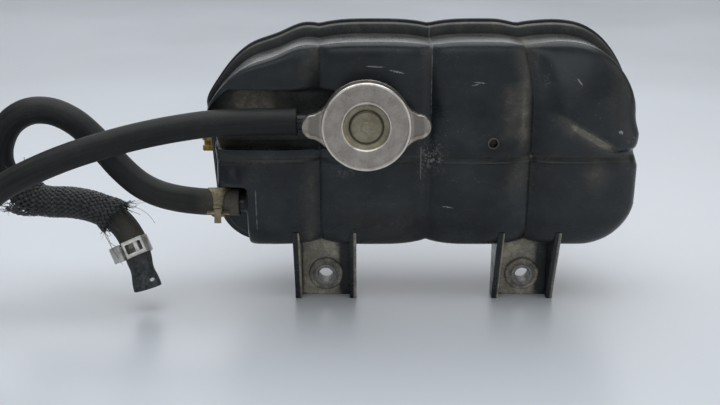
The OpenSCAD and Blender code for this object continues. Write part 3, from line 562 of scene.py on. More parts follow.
class Finish:
    """A material's nodes, with a short call for each kind that the finishes use."""

    def __init__(self, name):
        self.material = bpy.data.materials.get(name)
        self.new = self.material is None
        if self.new:
            self.material = bpy.data.materials.new(name)
            self.material.use_nodes = True
            self.tree = self.material.node_tree
            self.shader = self.tree.nodes["Principled BSDF"]
            self.place = self.tree.nodes.new("ShaderNodeTexCoord").outputs["Object"]

    def node(self, kind, inputs, **settings):
        node = self.tree.nodes.new("ShaderNode" + kind)
        for key, value in settings.items():
            setattr(node, key, value)
        for key, value in inputs.items():
            if isinstance(value, bpy.types.NodeSocket):
                self.tree.links.new(value, node.inputs[key])
            elif value is not None:
                node.inputs[key].default_value = value
        return node

    def moved(self, location=(0, 0, 0), rotation=(0, 0, 0), scale=(1, 1, 1), vector=None):
        inputs = {"Vector": vector or self.place, "Location": location, "Rotation": rotation, "Scale": scale}
        return self.node("Mapping", inputs).outputs["Vector"]

    def noise(self, scale, detail=4.0, roughness=0.55, vector=None, distortion=0.0):
        return self.node("TexNoise", {"Vector": vector or self.place, "Scale": scale, "Detail": detail,
                                      "Roughness": roughness, "Distortion": distortion}).outputs["Fac"]

    def cells(self, scale, vector=None, feature="F1"):
        return self.node("TexVoronoi", {"Vector": vector or self.place, "Scale": scale},
                         feature=feature).outputs["Distance"]

    def ramp(self, value, low, high, start=0.0, end=1.0):
        return self.node("MapRange", {"Value": value, "From Min": low, "From Max": high, "To Min": start,
                                      "To Max": end}, interpolation_type="SMOOTHSTEP").outputs["Result"]

    def math(self, operation, a, b=0.0, c=0.0, limited=False):
        return self.node("Math", {0: a, 1: b, 2: c}, operation=operation, use_clamp=limited).outputs["Value"]

    def product(self, *values):
        result = values[0]
        for value in values[1:]:
            result = self.math("MULTIPLY", result, value)
        return result

    def blend(self, share, a, b):
        a, b = (tuple(c) + (1.0,) if not isinstance(c, bpy.types.NodeSocket) and len(c) == 3 else c
                for c in (a, b))
        return self.node("Mix", {0: share, 6: a, 7: b}, data_type="RGBA").outputs[2]

    def mark(self, name):
        return self.node("Attribute", {}, attribute_name=name).outputs["Fac"]

    def spot(self, centre, half_sizes, turn=0.0):
        """1 at a place on the front, falling to 0 at the edge of a slanting ellipse round it."""
        local = self.node("Mapping", {"Vector": self.place, "Location": centre, "Rotation": (0, turn, 0),
                                      "Scale": (half_sizes[0], 0.2, half_sizes[1])}, vector_type="TEXTURE")
        distance = self.node("VectorMath", {0: local.outputs["Vector"]}, operation="LENGTH").outputs["Value"]
        return self.ramp(distance, 0.55, 1.0, 1.0, 0.0)

    def line(self, x, low, high, half):
        """1 along a thin upright line on the front, 0 beside it and past its ends."""
        axes = self.node("SeparateXYZ", {0: self.place}).outputs
        beside = self.math("ABSOLUTE", self.math("SUBTRACT", axes["X"], x))
        return self.product(
            self.ramp(beside, half * 0.5, half, 1.0, 0.0), self.ramp(axes["Z"], low, low + 0.004),
            self.ramp(axes["Z"], high - 0.004, high, 1.0, 0.0))

    def bump(self, height, distance, strength=1.0, under=None):
        return self.node("Bump", {"Height": height, "Distance": distance, "Strength": strength,
                                  "Normal": under}).outputs["Normal"]

    def set(self, **values):
        for key, value in values.items():
            socket = self.shader.inputs[key.replace("_", " ")]
            if isinstance(value, bpy.types.NodeSocket):
                self.tree.links.new(value, socket)
            else:
                socket.default_value = value
        return self.material


def worn_plastic(name, dust_share, settled_share=1.0, dust_light=1.0):
    """Moulded black plastic with a dry dust film, rubbed places, fine scratches and witness lines; the dust
    mark and one pale line also carry painted highlights and shade, and the top is painted paler as a
    highlight.
    """
    f = Finish(name)
    if not f.new:
        return f.material
    colours = bpy.context.scene.finish_colours
    dark = [c * 0.55 for c in colours.plastic]
    light = [c * 1.9 for c in colours.plastic]
    clouds = f.noise(28.0, 6.0, 0.62)
    body = f.blend(f.ramp(clouds, 0.32, 0.70), dark, light)
    axes = f.node("SeparateXYZ", {0: f.place}).outputs
    # Paler grey toward the top and toward the right end: a painted highlight standing in for the brighter
    # light on the upper faces.
    painted_top_highlight = f.math("MAXIMUM", f.ramp(axes["Z"], 0.125, 0.168, 0.0, 0.60),
                   f.ramp(axes["X"], 0.076, 0.100, 0.0, 0.45))
    body = f.blend(painted_top_highlight, body, (0.024, 0.028, 0.031))
    film = f.ramp(f.noise(75.0, 8.0, 0.68, distortion=0.4), 0.40, 0.78)
    grain = f.ramp(f.noise(900.0, 3.0, 0.6), 0.35, 0.72)
    settled = f.product(f.mark("dust"), f.math("MULTIPLY_ADD", film, 0.65, 0.45),
                        f.math("MULTIPLY_ADD", grain, 0.4, 0.7), settled_share)
    everywhere = f.product(film, grain, dust_share)
    dust = f.math("ADD", settled, everywhere, limited=True)
    dust_and_sheen_colour = f.blend(f.ramp(f.noise(160.0, 4.0), 0.35, 0.7), [c * dust_light for c in colours.dust],
                    [c * 0.66 * dust_light for c in colours.dust])
    # Where the dust mark runs highest the film is painted much paler: thick dust, and also the painted
    # highlights that the marks carry on the tank's ridge, lit flanks and bracket edges.
    dust_and_sheen_colour = f.blend(f.ramp(f.mark("dust"), 0.72, 1.0), dust_and_sheen_colour, [c * 1.8 * dust_light for c in colours.dust])
    coloured = f.blend(dust, body, dust_and_sheen_colour)
    crackle = f.ramp(f.noise(420.0, 5.0, 0.75, distortion=1.2), 0.50, 0.68)
    rubbed = f.product(f.mark("scuff"), crackle)
    scratches = None
    for centre, sizes, turn in (((-0.038, -0.03, 0.1635), (0.0075, 0.0006), 0.05),
                                ((-0.0235, -0.03, 0.1600), (0.0065, 0.0007), 0.22),
                                ((0.0330, -0.03, 0.1525), (0.0050, 0.0005), 0.10),
                                ((0.0300, -0.03, 0.1510), (0.0030, 0.0005), -0.2),
                                ((0.1010, -0.03, 0.1530), (0.0035, 0.0006), 0.9),
                                ((0.0135, -0.03, 0.0630), (0.0050, 0.0006), 0.12),
                                ((0.1315, -0.03, 0.1180), (0.0022, 0.0014), 0.4)):
        spot = f.spot(centre, sizes, turn)
        scratches = spot if scratches is None else f.math("MAXIMUM", scratches, spot)
    scratches = f.product(scratches, f.ramp(f.noise(1500.0, 2.0), 0.40, 0.55))
    lines = f.line(0.0008, 0.120, 0.187, 0.00034)
    # The line at x -0.1218 beside the notch is a painted highlight along the notch's rounded edge; the other
    # lines are witness lines.
    for x, low, high, half in ((-0.0058, 0.082, 0.110, 0.00045), (-0.1218, 0.044, 0.077, 0.00050)):
        lines = f.math("MAXIMUM", lines, f.line(x, low, high, half))
    pale_lines = f.product(lines, f.ramp(f.noise(240.0, 3.0), 0.30, 0.62, 0.12, 0.75))
    pale = f.math("MAXIMUM", rubbed, f.math("MULTIPLY", scratches, 0.7), limited=True)
    pale = f.math("MAXIMUM", pale, f.math("MULTIPLY", pale_lines, 0.42))
    specks = f.ramp(f.cells(260.0), 0.10, 0.045, 0.0, 0.30)
    pale = f.math("MAXIMUM", pale, f.math("MULTIPLY", specks, f.ramp(clouds, 0.45, 0.6)))
    coloured = f.blend(pale, coloured, colours.scuff)
    smears = f.ramp(f.noise(16.0, 5.0, 0.6, f.moved(scale=(1.0, 1.0, 3.2)), 0.7), 0.38, 0.66)
    shine = f.math("MULTIPLY_ADD", clouds, 0.10, f.math("MULTIPLY_ADD", smears, 0.15, 0.16))
    rough = f.math("ADD", shine, f.math("MULTIPLY", dust, 0.42), limited=True)
    rough = f.math("ADD", rough, f.math("MULTIPLY", pale, 0.25), limited=True)
    waves = f.bump(f.noise(34.0, 3.0, 0.45), 0.0016, 0.40)
    texture = f.bump(f.math("ADD", f.noise(1400.0, 3.0), f.math("MULTIPLY", pale, -0.6)), 0.00012, 0.5, waves)
    return f.set(Base_Color=coloured, Roughness=rough, Normal=texture, Specular_IOR_Level=0.32)


def cap_metal(name):
    """Dull plated steel, darker and browner in the middle, with painted shade round the raised middle, bright
    edges that are partly wear and partly painted highlight, and specks.
    """
    f = Finish(name)
    if not f.new:
        return f.material
    colours, neck = bpy.context.scene.finish_colours, bpy.context.scene.fitting_sizes
    local = f.moved(location=(-neck.neck_x, 0, -neck.neck_z))
    flat = f.node("VectorMath", {0: local, 1: (1, 0, 1)}, operation="MULTIPLY").outputs["Vector"]
    radius = f.node("VectorMath", {0: flat}, operation="LENGTH").outputs["Value"]
    clouds = f.noise(110.0, 7.0, 0.68)
    fine = f.noise(1300.0, 3.0, 0.7)
    steel = f.blend(f.ramp(clouds, 0.30, 0.72), [c * 0.72 for c in colours.steel],
                    [c * 1.06 for c in colours.steel])
    brown = f.blend(f.ramp(clouds, 0.35, 0.65), (0.215, 0.190, 0.128), (0.33, 0.30, 0.22))
    middle = f.ramp(radius, 0.0168, 0.0150)
    steel = f.blend(middle, steel, brown)
    pits = f.math("MULTIPLY", f.ramp(f.cells(520.0), 0.20, 0.08), f.ramp(f.noise(90.0, 3.0), 0.42, 0.60))
    stains = f.ramp(f.noise(48.0, 6.0, 0.7, distortion=0.8), 0.56, 0.74, 0.0, 0.55)
    steel = f.blend(stains, steel, (0.20, 0.175, 0.145))
    steel = f.blend(f.math("MULTIPLY", pits, 0.75), steel, (0.085, 0.075, 0.06))
    # Pale rings on the rim bead and on the bead round the sunk ring: partly wear, partly a painted highlight
    # on their rounded edges.
    worn_and_highlit_edges = f.product(f.ramp(radius, 0.0283, 0.0290), f.ramp(radius, 0.0302, 0.0298))
    worn_and_highlit_edges = f.math("MAXIMUM", worn_and_highlit_edges, f.product(f.ramp(radius, 0.0155, 0.0159), f.ramp(radius, 0.0168, 0.0164)))
    worn_and_highlit_edges = f.product(worn_and_highlit_edges, f.ramp(clouds, 0.25, 0.60, 0.35, 0.95))
    steel = f.blend(worn_and_highlit_edges, steel, (0.80, 0.76, 0.68))
    # A dark ring round the raised middle: painted shade where the sunk ring meets the raised middle.
    groove = f.product(f.ramp(radius, 0.0098, 0.0104), f.ramp(radius, 0.0128, 0.0114), 0.75)
    steel = f.blend(groove, steel, (0.055, 0.048, 0.032))
    ears = f.product(f.ramp(radius, 0.0308, 0.0325), f.ramp(radius, 0.0398, 0.0380),
                     f.ramp(clouds, 0.2, 0.6, 0.3, 0.7))
    steel = f.blend(ears, steel, (0.15, 0.137, 0.115))
    rings = f.node("TexWave", {"Vector": flat, "Scale": 330.0, "Distortion": 2.2, "Detail": 2.0},
                   wave_type="RINGS", rings_direction="SPHERICAL").outputs["Fac"]
    turned_marks = f.product(rings, f.ramp(radius, 0.0105, 0.0085))
    rough = f.math("MULTIPLY_ADD", clouds, 0.22, 0.20)
    rough = f.math("ADD", rough, f.math("MULTIPLY", f.math("ADD", stains, middle), 0.10), limited=True)
    height = f.math("ADD", f.math("MULTIPLY", fine, 0.6), f.math("MULTIPLY", turned_marks, 0.8))
    height = f.math("SUBTRACT", height, f.math("MULTIPLY", pits, 1.2))
    normal = f.bump(height, 0.00010, 0.55, f.bump(f.noise(150.0, 3.0), 0.0004, 0.35))
    return f.set(Base_Color=steel, Roughness=rough, Metallic=0.92, Normal=normal)


def plain_metal(name, base, rough, dirt, dirt_colour=(0.09, 0.07, 0.05), metallic=0.9):
    """Sheet or turned metal with a share of dirt or rust."""
    f = Finish(name)
    if not f.new:
        return f.material
    clouds = f.noise(190.0, 7.0, 0.66)
    metal = f.blend(f.ramp(clouds, 0.3, 0.7), [c * 0.78 for c in base], [min(1.0, c * 1.12) for c in base])
    rust = f.ramp(f.noise(330.0, 8.0, 0.72, distortion=0.6), 0.62 - 0.25 * dirt, 0.80 - 0.22 * dirt,
                  0.0, 0.85)
    metal = f.blend(rust, metal, dirt_colour)
    rough_map = f.math("ADD", f.ramp(clouds, 0.2, 0.8, rough - 0.07, rough + 0.08),
                       f.math("MULTIPLY", rust, 0.25))
    height = f.math("ADD", f.noise(1700.0, 3.0), f.math("MULTIPLY", rust, 0.8))
    return f.set(Base_Color=metal, Roughness=rough_map, Metallic=metallic,
                 Normal=f.bump(height, 0.00008, 0.5))


def hose_rubber(name, base, dust):
    """Extruded rubber with long faint streaks and a brown dust film, along the hose's own UV."""
    f = Finish(name)
    if not f.new:
        return f.material
    uv = f.node("UVMap", {}, uv_map="along").outputs["UV"]
    streaks = f.noise(1.0, 5.0, 0.6, f.moved(scale=(22.0, 14.0, 1.0), vector=uv))
    lines = f.noise(1.0, 3.0, 0.6, f.moved(scale=(90.0, 26.0, 1.0), vector=uv))
    clouds = f.noise(60.0, 7.0, 0.66)
    grain = f.noise(1500.0, 3.0, 0.6)
    rubber = f.blend(f.ramp(streaks, 0.35, 0.68), [c * 0.7 for c in base], [c * 1.8 for c in base])
    film = f.product(f.ramp(clouds, 0.40, 0.74), f.ramp(lines, 0.35, 0.62), f.ramp(grain, 0.30, 0.65))
    film = f.math("ADD", f.math("MULTIPLY", film, dust),
                  f.math("MULTIPLY", f.mark("dust"), f.ramp(grain, 0.2, 0.6)), limited=True)
    colour_here = f.blend(film, rubber, bpy.context.scene.finish_colours.dust)
    nicks = f.ramp(f.cells(210.0), 0.085, 0.03, 0.0, 0.35)
    colour_here = f.blend(nicks, colour_here, (0.16, 0.155, 0.145))
    bloom = f.product(f.mark("bloom"), f.ramp(f.noise(240.0, 6.0, 0.7), 0.30, 0.72), 0.75)
    colour_here = f.blend(bloom, colour_here, (0.085, 0.098, 0.108))
    chalk = f.product(f.spot((-0.1992, -0.030, 0.0076), (0.0018, 0.0013), 0.3), f.ramp(grain, 0.2, 0.5))
    colour_here = f.blend(chalk, colour_here, (0.62, 0.66, 0.70))
    rough = f.math("ADD", f.ramp(streaks, 0.3, 0.7, 0.50, 0.62), f.math("MULTIPLY", film, 0.3), limited=True)
    height = f.math("ADD", f.math("MULTIPLY", lines, 0.8), f.math("MULTIPLY", grain, 0.5))
    return f.set(Base_Color=colour_here, Roughness=rough, Normal=f.bump(height, 0.00018, 0.45),
                 Specular_IOR_Level=0.27)


def plain_rubber(name, base, rough=0.62, dust=0.35, dust_light=1.0):
    """Moulded rubber with dust in its grain."""
    f = Finish(name)
    if not f.new:
        return f.material
    clouds, grain = f.noise(150.0, 6.0, 0.65), f.noise(1300.0, 3.0)
    film = f.product(f.ramp(clouds, 0.36, 0.72), f.ramp(grain, 0.30, 0.66), dust * 1.6)
    body = f.blend(f.ramp(f.noise(420.0, 4.0), 0.3, 0.7), [c * 0.8 for c in base], [c * 1.3 for c in base])
    coloured = f.blend(film, body, [c * dust_light for c in bpy.context.scene.finish_colours.dust])
    rough_map = f.math("ADD", f.math("MULTIPLY", film, 0.3),
                       f.ramp(clouds, 0.3, 0.7, rough - 0.05, rough + 0.05))
    return f.set(Base_Color=coloured, Roughness=rough_map, Normal=f.bump(grain, 0.00015, 0.5))


def braid_fibre(name):
    """Glossy black filaments, three side by side in each strand."""
    f = Finish(name)
    if not f.new:
        return f.material
    uv = f.node("UVMap", {}, uv_map="along").outputs["UV"]
    across = f.node("SeparateXYZ", {0: uv}).outputs["X"]
    # Each filament's crown is painted lighter and the lines between filaments darker: painted sheen and
    # shade.
    threads = f.math("ABSOLUTE", f.math("SINE", f.math("MULTIPLY", across, 3 * math.pi)))
    clouds = f.noise(130.0, 6.0, 0.65)
    fibre = f.blend(f.product(f.ramp(threads, 0.1, 0.9), f.ramp(clouds, 0.3, 0.7)), (0.011, 0.012, 0.013),
                    (0.050, 0.054, 0.058))
    dirt = f.product(f.ramp(f.noise(85.0, 5.0, 0.6), 0.46, 0.72),
                     f.ramp(f.noise(1500.0, 2.0), 0.35, 0.7), 0.30)
    fibre = f.blend(dirt, fibre, bpy.context.scene.finish_colours.dust)
    return f.set(Base_Color=fibre, Roughness=f.ramp(clouds, 0.3, 0.7, 0.34, 0.50),
                 Normal=f.bump(threads, 0.00012, 0.8))


def yellow_resin(name):
    """Ochre plastic with patches of dirt."""
    f = Finish(name)
    if not f.new:
        return f.material
    base = bpy.context.scene.finish_colours.yellow
    clouds = f.noise(170.0, 6.0, 0.65)
    body = f.blend(f.ramp(clouds, 0.3, 0.7), [c * 0.62 for c in base], [min(1.0, c * 1.15) for c in base])
    dirt = f.ramp(f.noise(260.0, 7.0, 0.7, distortion=0.5), 0.52, 0.70, 0.0, 0.85)
    coloured = f.blend(dirt, body, (0.085, 0.062, 0.03))
    return f.set(Base_Color=coloured, Roughness=f.ramp(clouds, 0.3, 0.7, 0.36, 0.52),
                 Normal=f.bump(f.noise(1100.0, 3.0), 0.00012, 0.5))


def finish_tank():
    return worn_plastic("tank plastic", 0.14)


def finish_brackets():
    return worn_plastic("bracket plastic", 0.05, 1.5, 2.9)


def finish_steel_parts():
    return plain_metal("valve steel", (0.46, 0.45, 0.43), 0.36, 0.3)


# Hoses, the braid and the clamps

def curve_through(route, steps=6):
    """A smooth line through the points of a route given in millimetres."""
    points = [Vector(p) * MM for p in route]
    last = len(points) - 1
    line = []
    for i in range(last):
        a, b, c, d = (points[min(max(k, 0), last)] for k in (i - 1, i, i + 1, i + 2))
        for k in range(steps):
            t = k / steps
            line.append(0.5 * (2 * b + (c - a) * t + (2 * a - 5 * b + 4 * c - d) * t * t
                               + (3 * b - a - 3 * c + d) * t ** 3))
    return line + [points[last]]


def frames_along(line):
    """For each point of a line: the point, its heading and two directions across, without twist."""
    result = []
    across = None
    for i, point in enumerate(line):
        heading = (line[min(i + 1, len(line) - 1)] - line[max(i - 1, 0)]).normalized()
        if across is None:
            across = heading.cross(TO_BACK).normalized()
        across = (across - heading * across.dot(heading)).normalized()
        result.append((point, heading, across, heading.cross(across)))
    return result


def distances(line):
    total, result = 0.0, [0.0]
    for a, b in zip(line, line[1:]):
        total += (b - a).length
        result.append(total)
    return result


def tube(name, line, radius_at, wall, sides=40):
    """An open hose with a real wall and rounded ends. Its UV runs round and along it, in metres."""
    travelled = distances(line)
    total = travelled[-1]
    mesh = bpy.data.meshes.new(name)
    obj = bpy.data.objects.new(name, mesh)
    bpy.context.scene.collection.objects.link(obj)
    build = bmesh.new()
    uv = build.loops.layers.uv.new("along")
    lip = wall * 0.22
    rows = []
    frames = frames_along(line)
    outer = [(p, a, b, radius_at(d, total), d) for (p, _, a, b), d in zip(frames, travelled)]
    first, last = outer[0], outer[-1]
    loops = [(first[0], first[1], first[2], first[3] - lip, 0.0)]
    loops += [(p + frames[i][1] * (lip if i == 0 else -lip if i == len(outer) - 1 else 0), a, b, r, d)
              for i, (p, a, b, r, d) in enumerate(outer)]
    loops += [(last[0], last[1], last[2], last[3] - lip, total)]
    loops += [(last[0], last[1], last[2], last[3] - wall, total)]
    loops += [(p, a, b, r - wall, d) for p, a, b, r, d in reversed(outer[1:-1])]
    loops += [(first[0], first[1], first[2], first[3] - wall, 0.0)]
    for point, a, b, r, _ in loops:
        rows.append([build.verts.new(point + (a * math.cos(t) + b * math.sin(t)) * r)
                     for t in (2 * math.pi * k / sides for k in range(sides))])
    count = len(rows)
    for i in range(count):
        here, there = rows[i], rows[(i + 1) % count]
        for k in range(sides):
            face = build.faces.new((here[k], there[k], there[(k + 1) % sides], here[(k + 1) % sides]))
            for loop, (u, v) in zip(face.loops, ((k, i), (k, i + 1), (k + 1, i + 1), (k + 1, i))):
                loop[uv].uv = u / sides, loops[v % count][4]
    build.to_mesh(mesh)
    build.free()
    with editing(obj):
        bpy.ops.mesh.normals_make_consistent(inside=False)
    return obj


def braided_sleeve(name, line, radius, strands, width, seed):
    """Flat strands woven over and under each other round a hose, frayed at both ends."""
    rng = random.Random(seed)
    mesh = bpy.data.meshes.new(name)
    obj = bpy.data.objects.new(name, mesh)
    bpy.context.scene.collection.objects.link(obj)
    build = bmesh.new()
    uv = build.loops.layers.uv.new("along")
    frames = frames_along(line)
    travelled = distances(line)
    total = travelled[-1]
    flare = 0.012

    def place(s, angle, r):
        """A point of the sleeve, also a little past its ends."""
        t = min(max(s, 0.0), total)
        i = max(k for k in range(len(travelled)) if travelled[k] <= t)
        j = min(i + 1, len(line) - 1)
        part = 0.0 if i == j else (t - travelled[i]) / (travelled[j] - travelled[i])
        point, heading = line[i].lerp(line[j], part), frames[i][1].lerp(frames[j][1], part).normalized()
        across = frames[i][2].lerp(frames[j][2], part).normalized()
        beside = heading.cross(across)
        outward_here = across * math.cos(angle) + beside * math.sin(angle)
        return point + heading * (s - t) + outward_here * r, outward_here, heading

    def swell(s):
        """The ends of the sleeve stand open."""
        return 0.0052 * smooth(1 - s / 0.018) + 0.0022 * smooth(1 - (total - s) / flare)

    def ribbon(path, half_width, half_thick):
        rows, run = [], 0.0
        for i, (point, up) in enumerate(path):
            ahead = (path[min(i + 1, len(path) - 1)][0] - path[max(i - 1, 0)][0]).normalized()
            side = ahead.cross(up).normalized()
            run += 0.0 if i == 0 else (point - path[i - 1][0]).length
            rows.append((run, [build.verts.new(point + side * a * half_width + up * b * half_thick)
                               for a, b in ((-1, 0), (0, 1), (1, 0), (0, -1))]))
        for (run_a, a), (run_b, b) in zip(rows, rows[1:]):
            for k in range(4):
                face = build.faces.new((a[k], b[k], b[(k + 1) % 4], a[(k + 1) % 4]))
                lows = (0.0, 0.5, 1.0, 0.5, 0.0)
                for loop, at in zip(face.loops, ((lows[k], run_a), (lows[k], run_b), (lows[k + 1], run_b),
                                                 (lows[k + 1], run_a))):
                    loop[uv].uv = at
        build.faces.new(rows[0][1])
        build.faces.new(list(reversed(rows[-1][1])))

    pitch = 0.66 / radius
    wave = 0.00060
    for way in (1, -1):
        for strand in range(strands):
            start, end = -rng.uniform(0.000, 0.0035), total + rng.uniform(0.000, 0.0025)
            steps = int((end - start) / 0.00078)
            path = []
            for i in range(steps + 1):
                s = start + (end - start) * i / steps
                angle = 2 * math.pi * strand / strands + way * pitch * s
                r = radius + swell(s) + way * wave * math.cos(strands * pitch * s)
                point, up, _ = place(s, angle, r)
                path.append((point, up))
            ribbon(path, width / 2, 0.00028)
    for at_end in (False, True):
        for _ in range(60):
            angle = rng.uniform(0, 2 * math.pi)
            long = rng.uniform(0.003, 0.010) * (2.3 if rng.random() < 0.12 else 1.0)
            bend = Vector([rng.uniform(-1, 1) for _ in range(3)]) * (0.65 if at_end else 0.95)
            start = total - 0.001 if at_end else 0.001
            point, up, heading = place(start, angle, radius + swell(start))
            lead = (heading if at_end else -heading) + up * rng.uniform(0.1, 0.9)
            path = []
            for i in range(7):
                t = i / 6
                path.append((point + (lead * t + bend * t * t) * long, up))
            ribbon(path, 0.00024, 0.00016)
    build.to_mesh(mesh)
    build.free()
    with editing(obj):
        bpy.ops.mesh.normals_make_consistent(inside=False)
    return obj


def band_round(name, centre, axis, opening, radius, width_at, thickness, gap, steps=72):
    """A clamp's band: a strip round a hose, as wide as asked at each angle from its opening."""
    beside = axis.cross(opening).normalized()
    places = []
    for i in range(steps + 1):
        turn = gap / 2 + (2 * math.pi - gap) * i / steps
        out = opening * math.cos(turn) + beside * math.sin(turn)
        low, high = width_at(turn)
        places.append((centre + out * radius + axis * low, centre + out * radius + axis * high))
    bpy.ops.mesh.primitive_grid_add(x_subdivisions=steps, y_subdivisions=1, size=1)
    strip = named(name)
    for vertex in strip.data.vertices:
        i = round((vertex.co.x + 0.5) * steps)
        vertex.co = places[i][0 if vertex.co.y < 0 else 1]
    middle = strip.data.polygons[steps // 2]
    if middle.normal.dot(middle.center - centre) < 0:
        with editing(strip):
            bpy.ops.mesh.flip_normals()
    apply_modifier(strip, "Sheet", "SOLIDIFY", thickness=thickness, offset=1.0, use_even_offset=True)
    bevelled(strip, thickness * 0.28, 2, 50)
    return strip


def plate_on(name, centre, out, along, size, edge, windows=()):
    """A small plate that faces outward from a clamp, with sunk or open windows cut in it."""
    beside = out.cross(along).normalized()
    turn = Matrix((beside, along, out)).transposed()
    bpy.ops.mesh.primitive_cube_add(size=1)
    plate = named(name)
    for vertex in plate.data.vertices:
        corner = Vector([place * side for place, side in zip(vertex.co, size)])
        vertex.co = centre + turn @ corner
    outward(plate)
    bevelled(plate, edge, 2)
    for middle, hole in windows:
        bpy.ops.mesh.primitive_cube_add(size=1)
        cutter = named("cutter")
        for vertex in cutter.data.vertices:
            vertex.co = centre + turn @ Vector([m + c * h for m, c, h in zip(middle, vertex.co, hole)])
        outward(cutter)
        bevelled(cutter, min(hole) * 0.2, 2)
        apply_modifier(plate, "Window", "BOOLEAN", operation="DIFFERENCE", object=cutter, solver="EXACT")
        bpy.data.objects.remove(cutter)
    return plate


# One operator for each piece or group of like pieces

class TankOperator:
    bl_options = {"REGISTER", "UNDO"}


class TANK_OT_stage(TankOperator, bpy.types.Operator):
    """Set the camera, the soft studio lights and the plain pale floor"""
    bl_idname = "tank.stage"
    bl_label = "Stage"

    def execute(self, context):
        scene = context.scene
        bpy.ops.object.camera_add(location=(-0.0483, -0.6883, 0.2811), rotation=(math.radians(72), 0, 0))
        camera = named("camera")
        camera.data.sensor_width, camera.data.lens = 36.0, 49.1
        camera.data.clip_start = 0.01
        scene.camera = camera
        for name, place, aim, size, watts, tint in (
                ("sky panel", (-0.1, 0.15, 2.3), (-0.1, 0.10, 0), (3.4, 2.9), 72.0, (0.95, 0.98, 1.0)),
                ("back wall", (-0.1, 2.9, 1.45), (0, 0, 0.10), (3.4, 1.3), 24.0, (0.97, 0.98, 1.0)),
                ("right wall", (1.05, -0.55, 0.42), (0, 0, 0.09), (0.8, 0.75), 1.6, (1.0, 0.90, 0.80)),
                ("front fill", (-0.2, -2.2, 1.0), (0, 0, 0.10), (3.0, 0.9), 9.5, (0.93, 0.97, 1.0))):
            bpy.ops.object.light_add(type="AREA", location=place)
            lamp = named(name)
            lamp.data.shape, lamp.data.size, lamp.data.size_y = "RECTANGLE", size[0], size[1]
            lamp.data.energy, lamp.data.color = watts, tint
            lamp.rotation_euler = (Vector(place) - Vector(aim)).to_track_quat("Z", "Y").to_euler()
        world = bpy.data.worlds.new("pale studio")
        world.use_nodes = True
        sky = world.node_tree.nodes["Background"]
        sky.inputs["Color"].default_value = (0.80, 0.83, 0.88, 1)
        sky.inputs["Strength"].default_value = 0.22
        scene.world = world
        scene.view_settings.view_transform = "Standard"
        floor_z = -scene.fitting_sizes.foot_drop
        bpy.ops.mesh.primitive_plane_add(size=9, location=(0, 0, floor_z))
        floor = named("floor")
        put_at_origin(floor)
        f = Finish("floor")
        if f.new:
            table = scene.finish_colours.table
            clouds = f.noise(1.6, 3.0)
            specks = f.ramp(f.cells(38.0), 0.030, 0.018, 0.0, 0.35)
            pale = f.blend(f.ramp(clouds, 0.3, 0.7), [c * 0.97 for c in table], [c * 1.03 for c in table])
            specks = f.product(specks, f.ramp(f.noise(5.0), 0.5, 0.62))
            f.set(Base_Color=f.blend(specks, pale, (0.34, 0.34, 0.35)),
                  Roughness=f.ramp(clouds, 0.3, 0.7, 0.30, 0.36))
        floor.data.materials.append(f.material)
        return {"FINISHED"}


class TANK_OT_hoses(TankOperator, bpy.types.Operator):
    """Lay the feed hose and the overflow hose along their routes"""
    bl_idname = "tank.hoses"
    bl_label = "Hoses"

    def execute(self, context):
        sizes, colours = context.scene.hose_sizes, context.scene.finish_colours
        rubber = hose_rubber("hose rubber", [c * 0.72 for c in colours.rubber], 0.13)
        feed_line = curve_through(FEED_ROUTE)

        def feed_radius(s, total):
            near_clamp = math.exp(-((s - 0.016) / 0.006) ** 2)
            near_end = math.exp(-((total - s - 0.0265) / 0.006) ** 2)
            neck = math.exp(-((total - s - 0.0150) / 0.006) ** 2)
            flare = smooth(1 - (total - s) / 0.011)
            return (sizes.feed_d / 2 - 0.00025 * near_clamp - 0.00030 * near_end - 0.0013 * neck
                    + 0.0005 * flare)

        feed = tube("feed_hose_rubber", feed_line, feed_radius, sizes.hose_wall - 0.0006)
        start, tip = feed_line[0], feed_line[-1]
        paint(feed, "dust", lambda p, n: max(
            0.75 * smooth(1.2 - (p - start).length / 0.034),
            0.42 * smooth(1.2 - (p - tip).length / 0.075) * smooth(((p - tip).length - 0.018) / 0.012),
            0.05 * clamp01(n.z)))
        paint(feed, "bloom", lambda p, n: smooth((0.030 - (p - tip).length) / 0.012))
        finished(feed, TANK, rubber, ("feed_hose",))
        over_line = curve_through(OVERFLOW_ROUTE)
        overflow = tube("overflow_hose_rubber", over_line, lambda s, total: sizes.overflow_d / 2
                        + 0.0003 * smooth(1 - s / 0.004), sizes.hose_wall)
        paint(overflow, "dust", lambda p, n: (
            0.05 * clamp01(n.z) + 0.16 * smooth((-0.20 - p.x) / 0.15) * clamp01(-n.z)))
        finished(overflow, TANK, rubber, ("overflow_hose",))
        return {"FINISHED"}


class TANK_OT_braid(TankOperator, bpy.types.Operator):
    """Weave the frayed braided sleeve round the feed hose"""
    bl_idname = "tank.braid"
    bl_label = "Braided sleeve"

    def execute(self, context):
        sizes = context.scene.hose_sizes
        steps = 10
        whole = curve_through(FEED_ROUTE, steps)
        travelled = distances(whole)
        start, end = travelled[BRAID_FROM * steps] - 0.0055, travelled[BRAID_TO * steps] + 0.0050
        line = [point for point, run in zip(whole, travelled) if start < run < end]
        sleeve = braided_sleeve(
            "hose_braid_strands", line, sizes.feed_d / 2 + 0.0012, sizes.strands, 0.0020, 7)
        finished(sleeve, TANK, braid_fibre("braid fibre"), ("hose_braid",), 60)
        return {"FINISHED"}


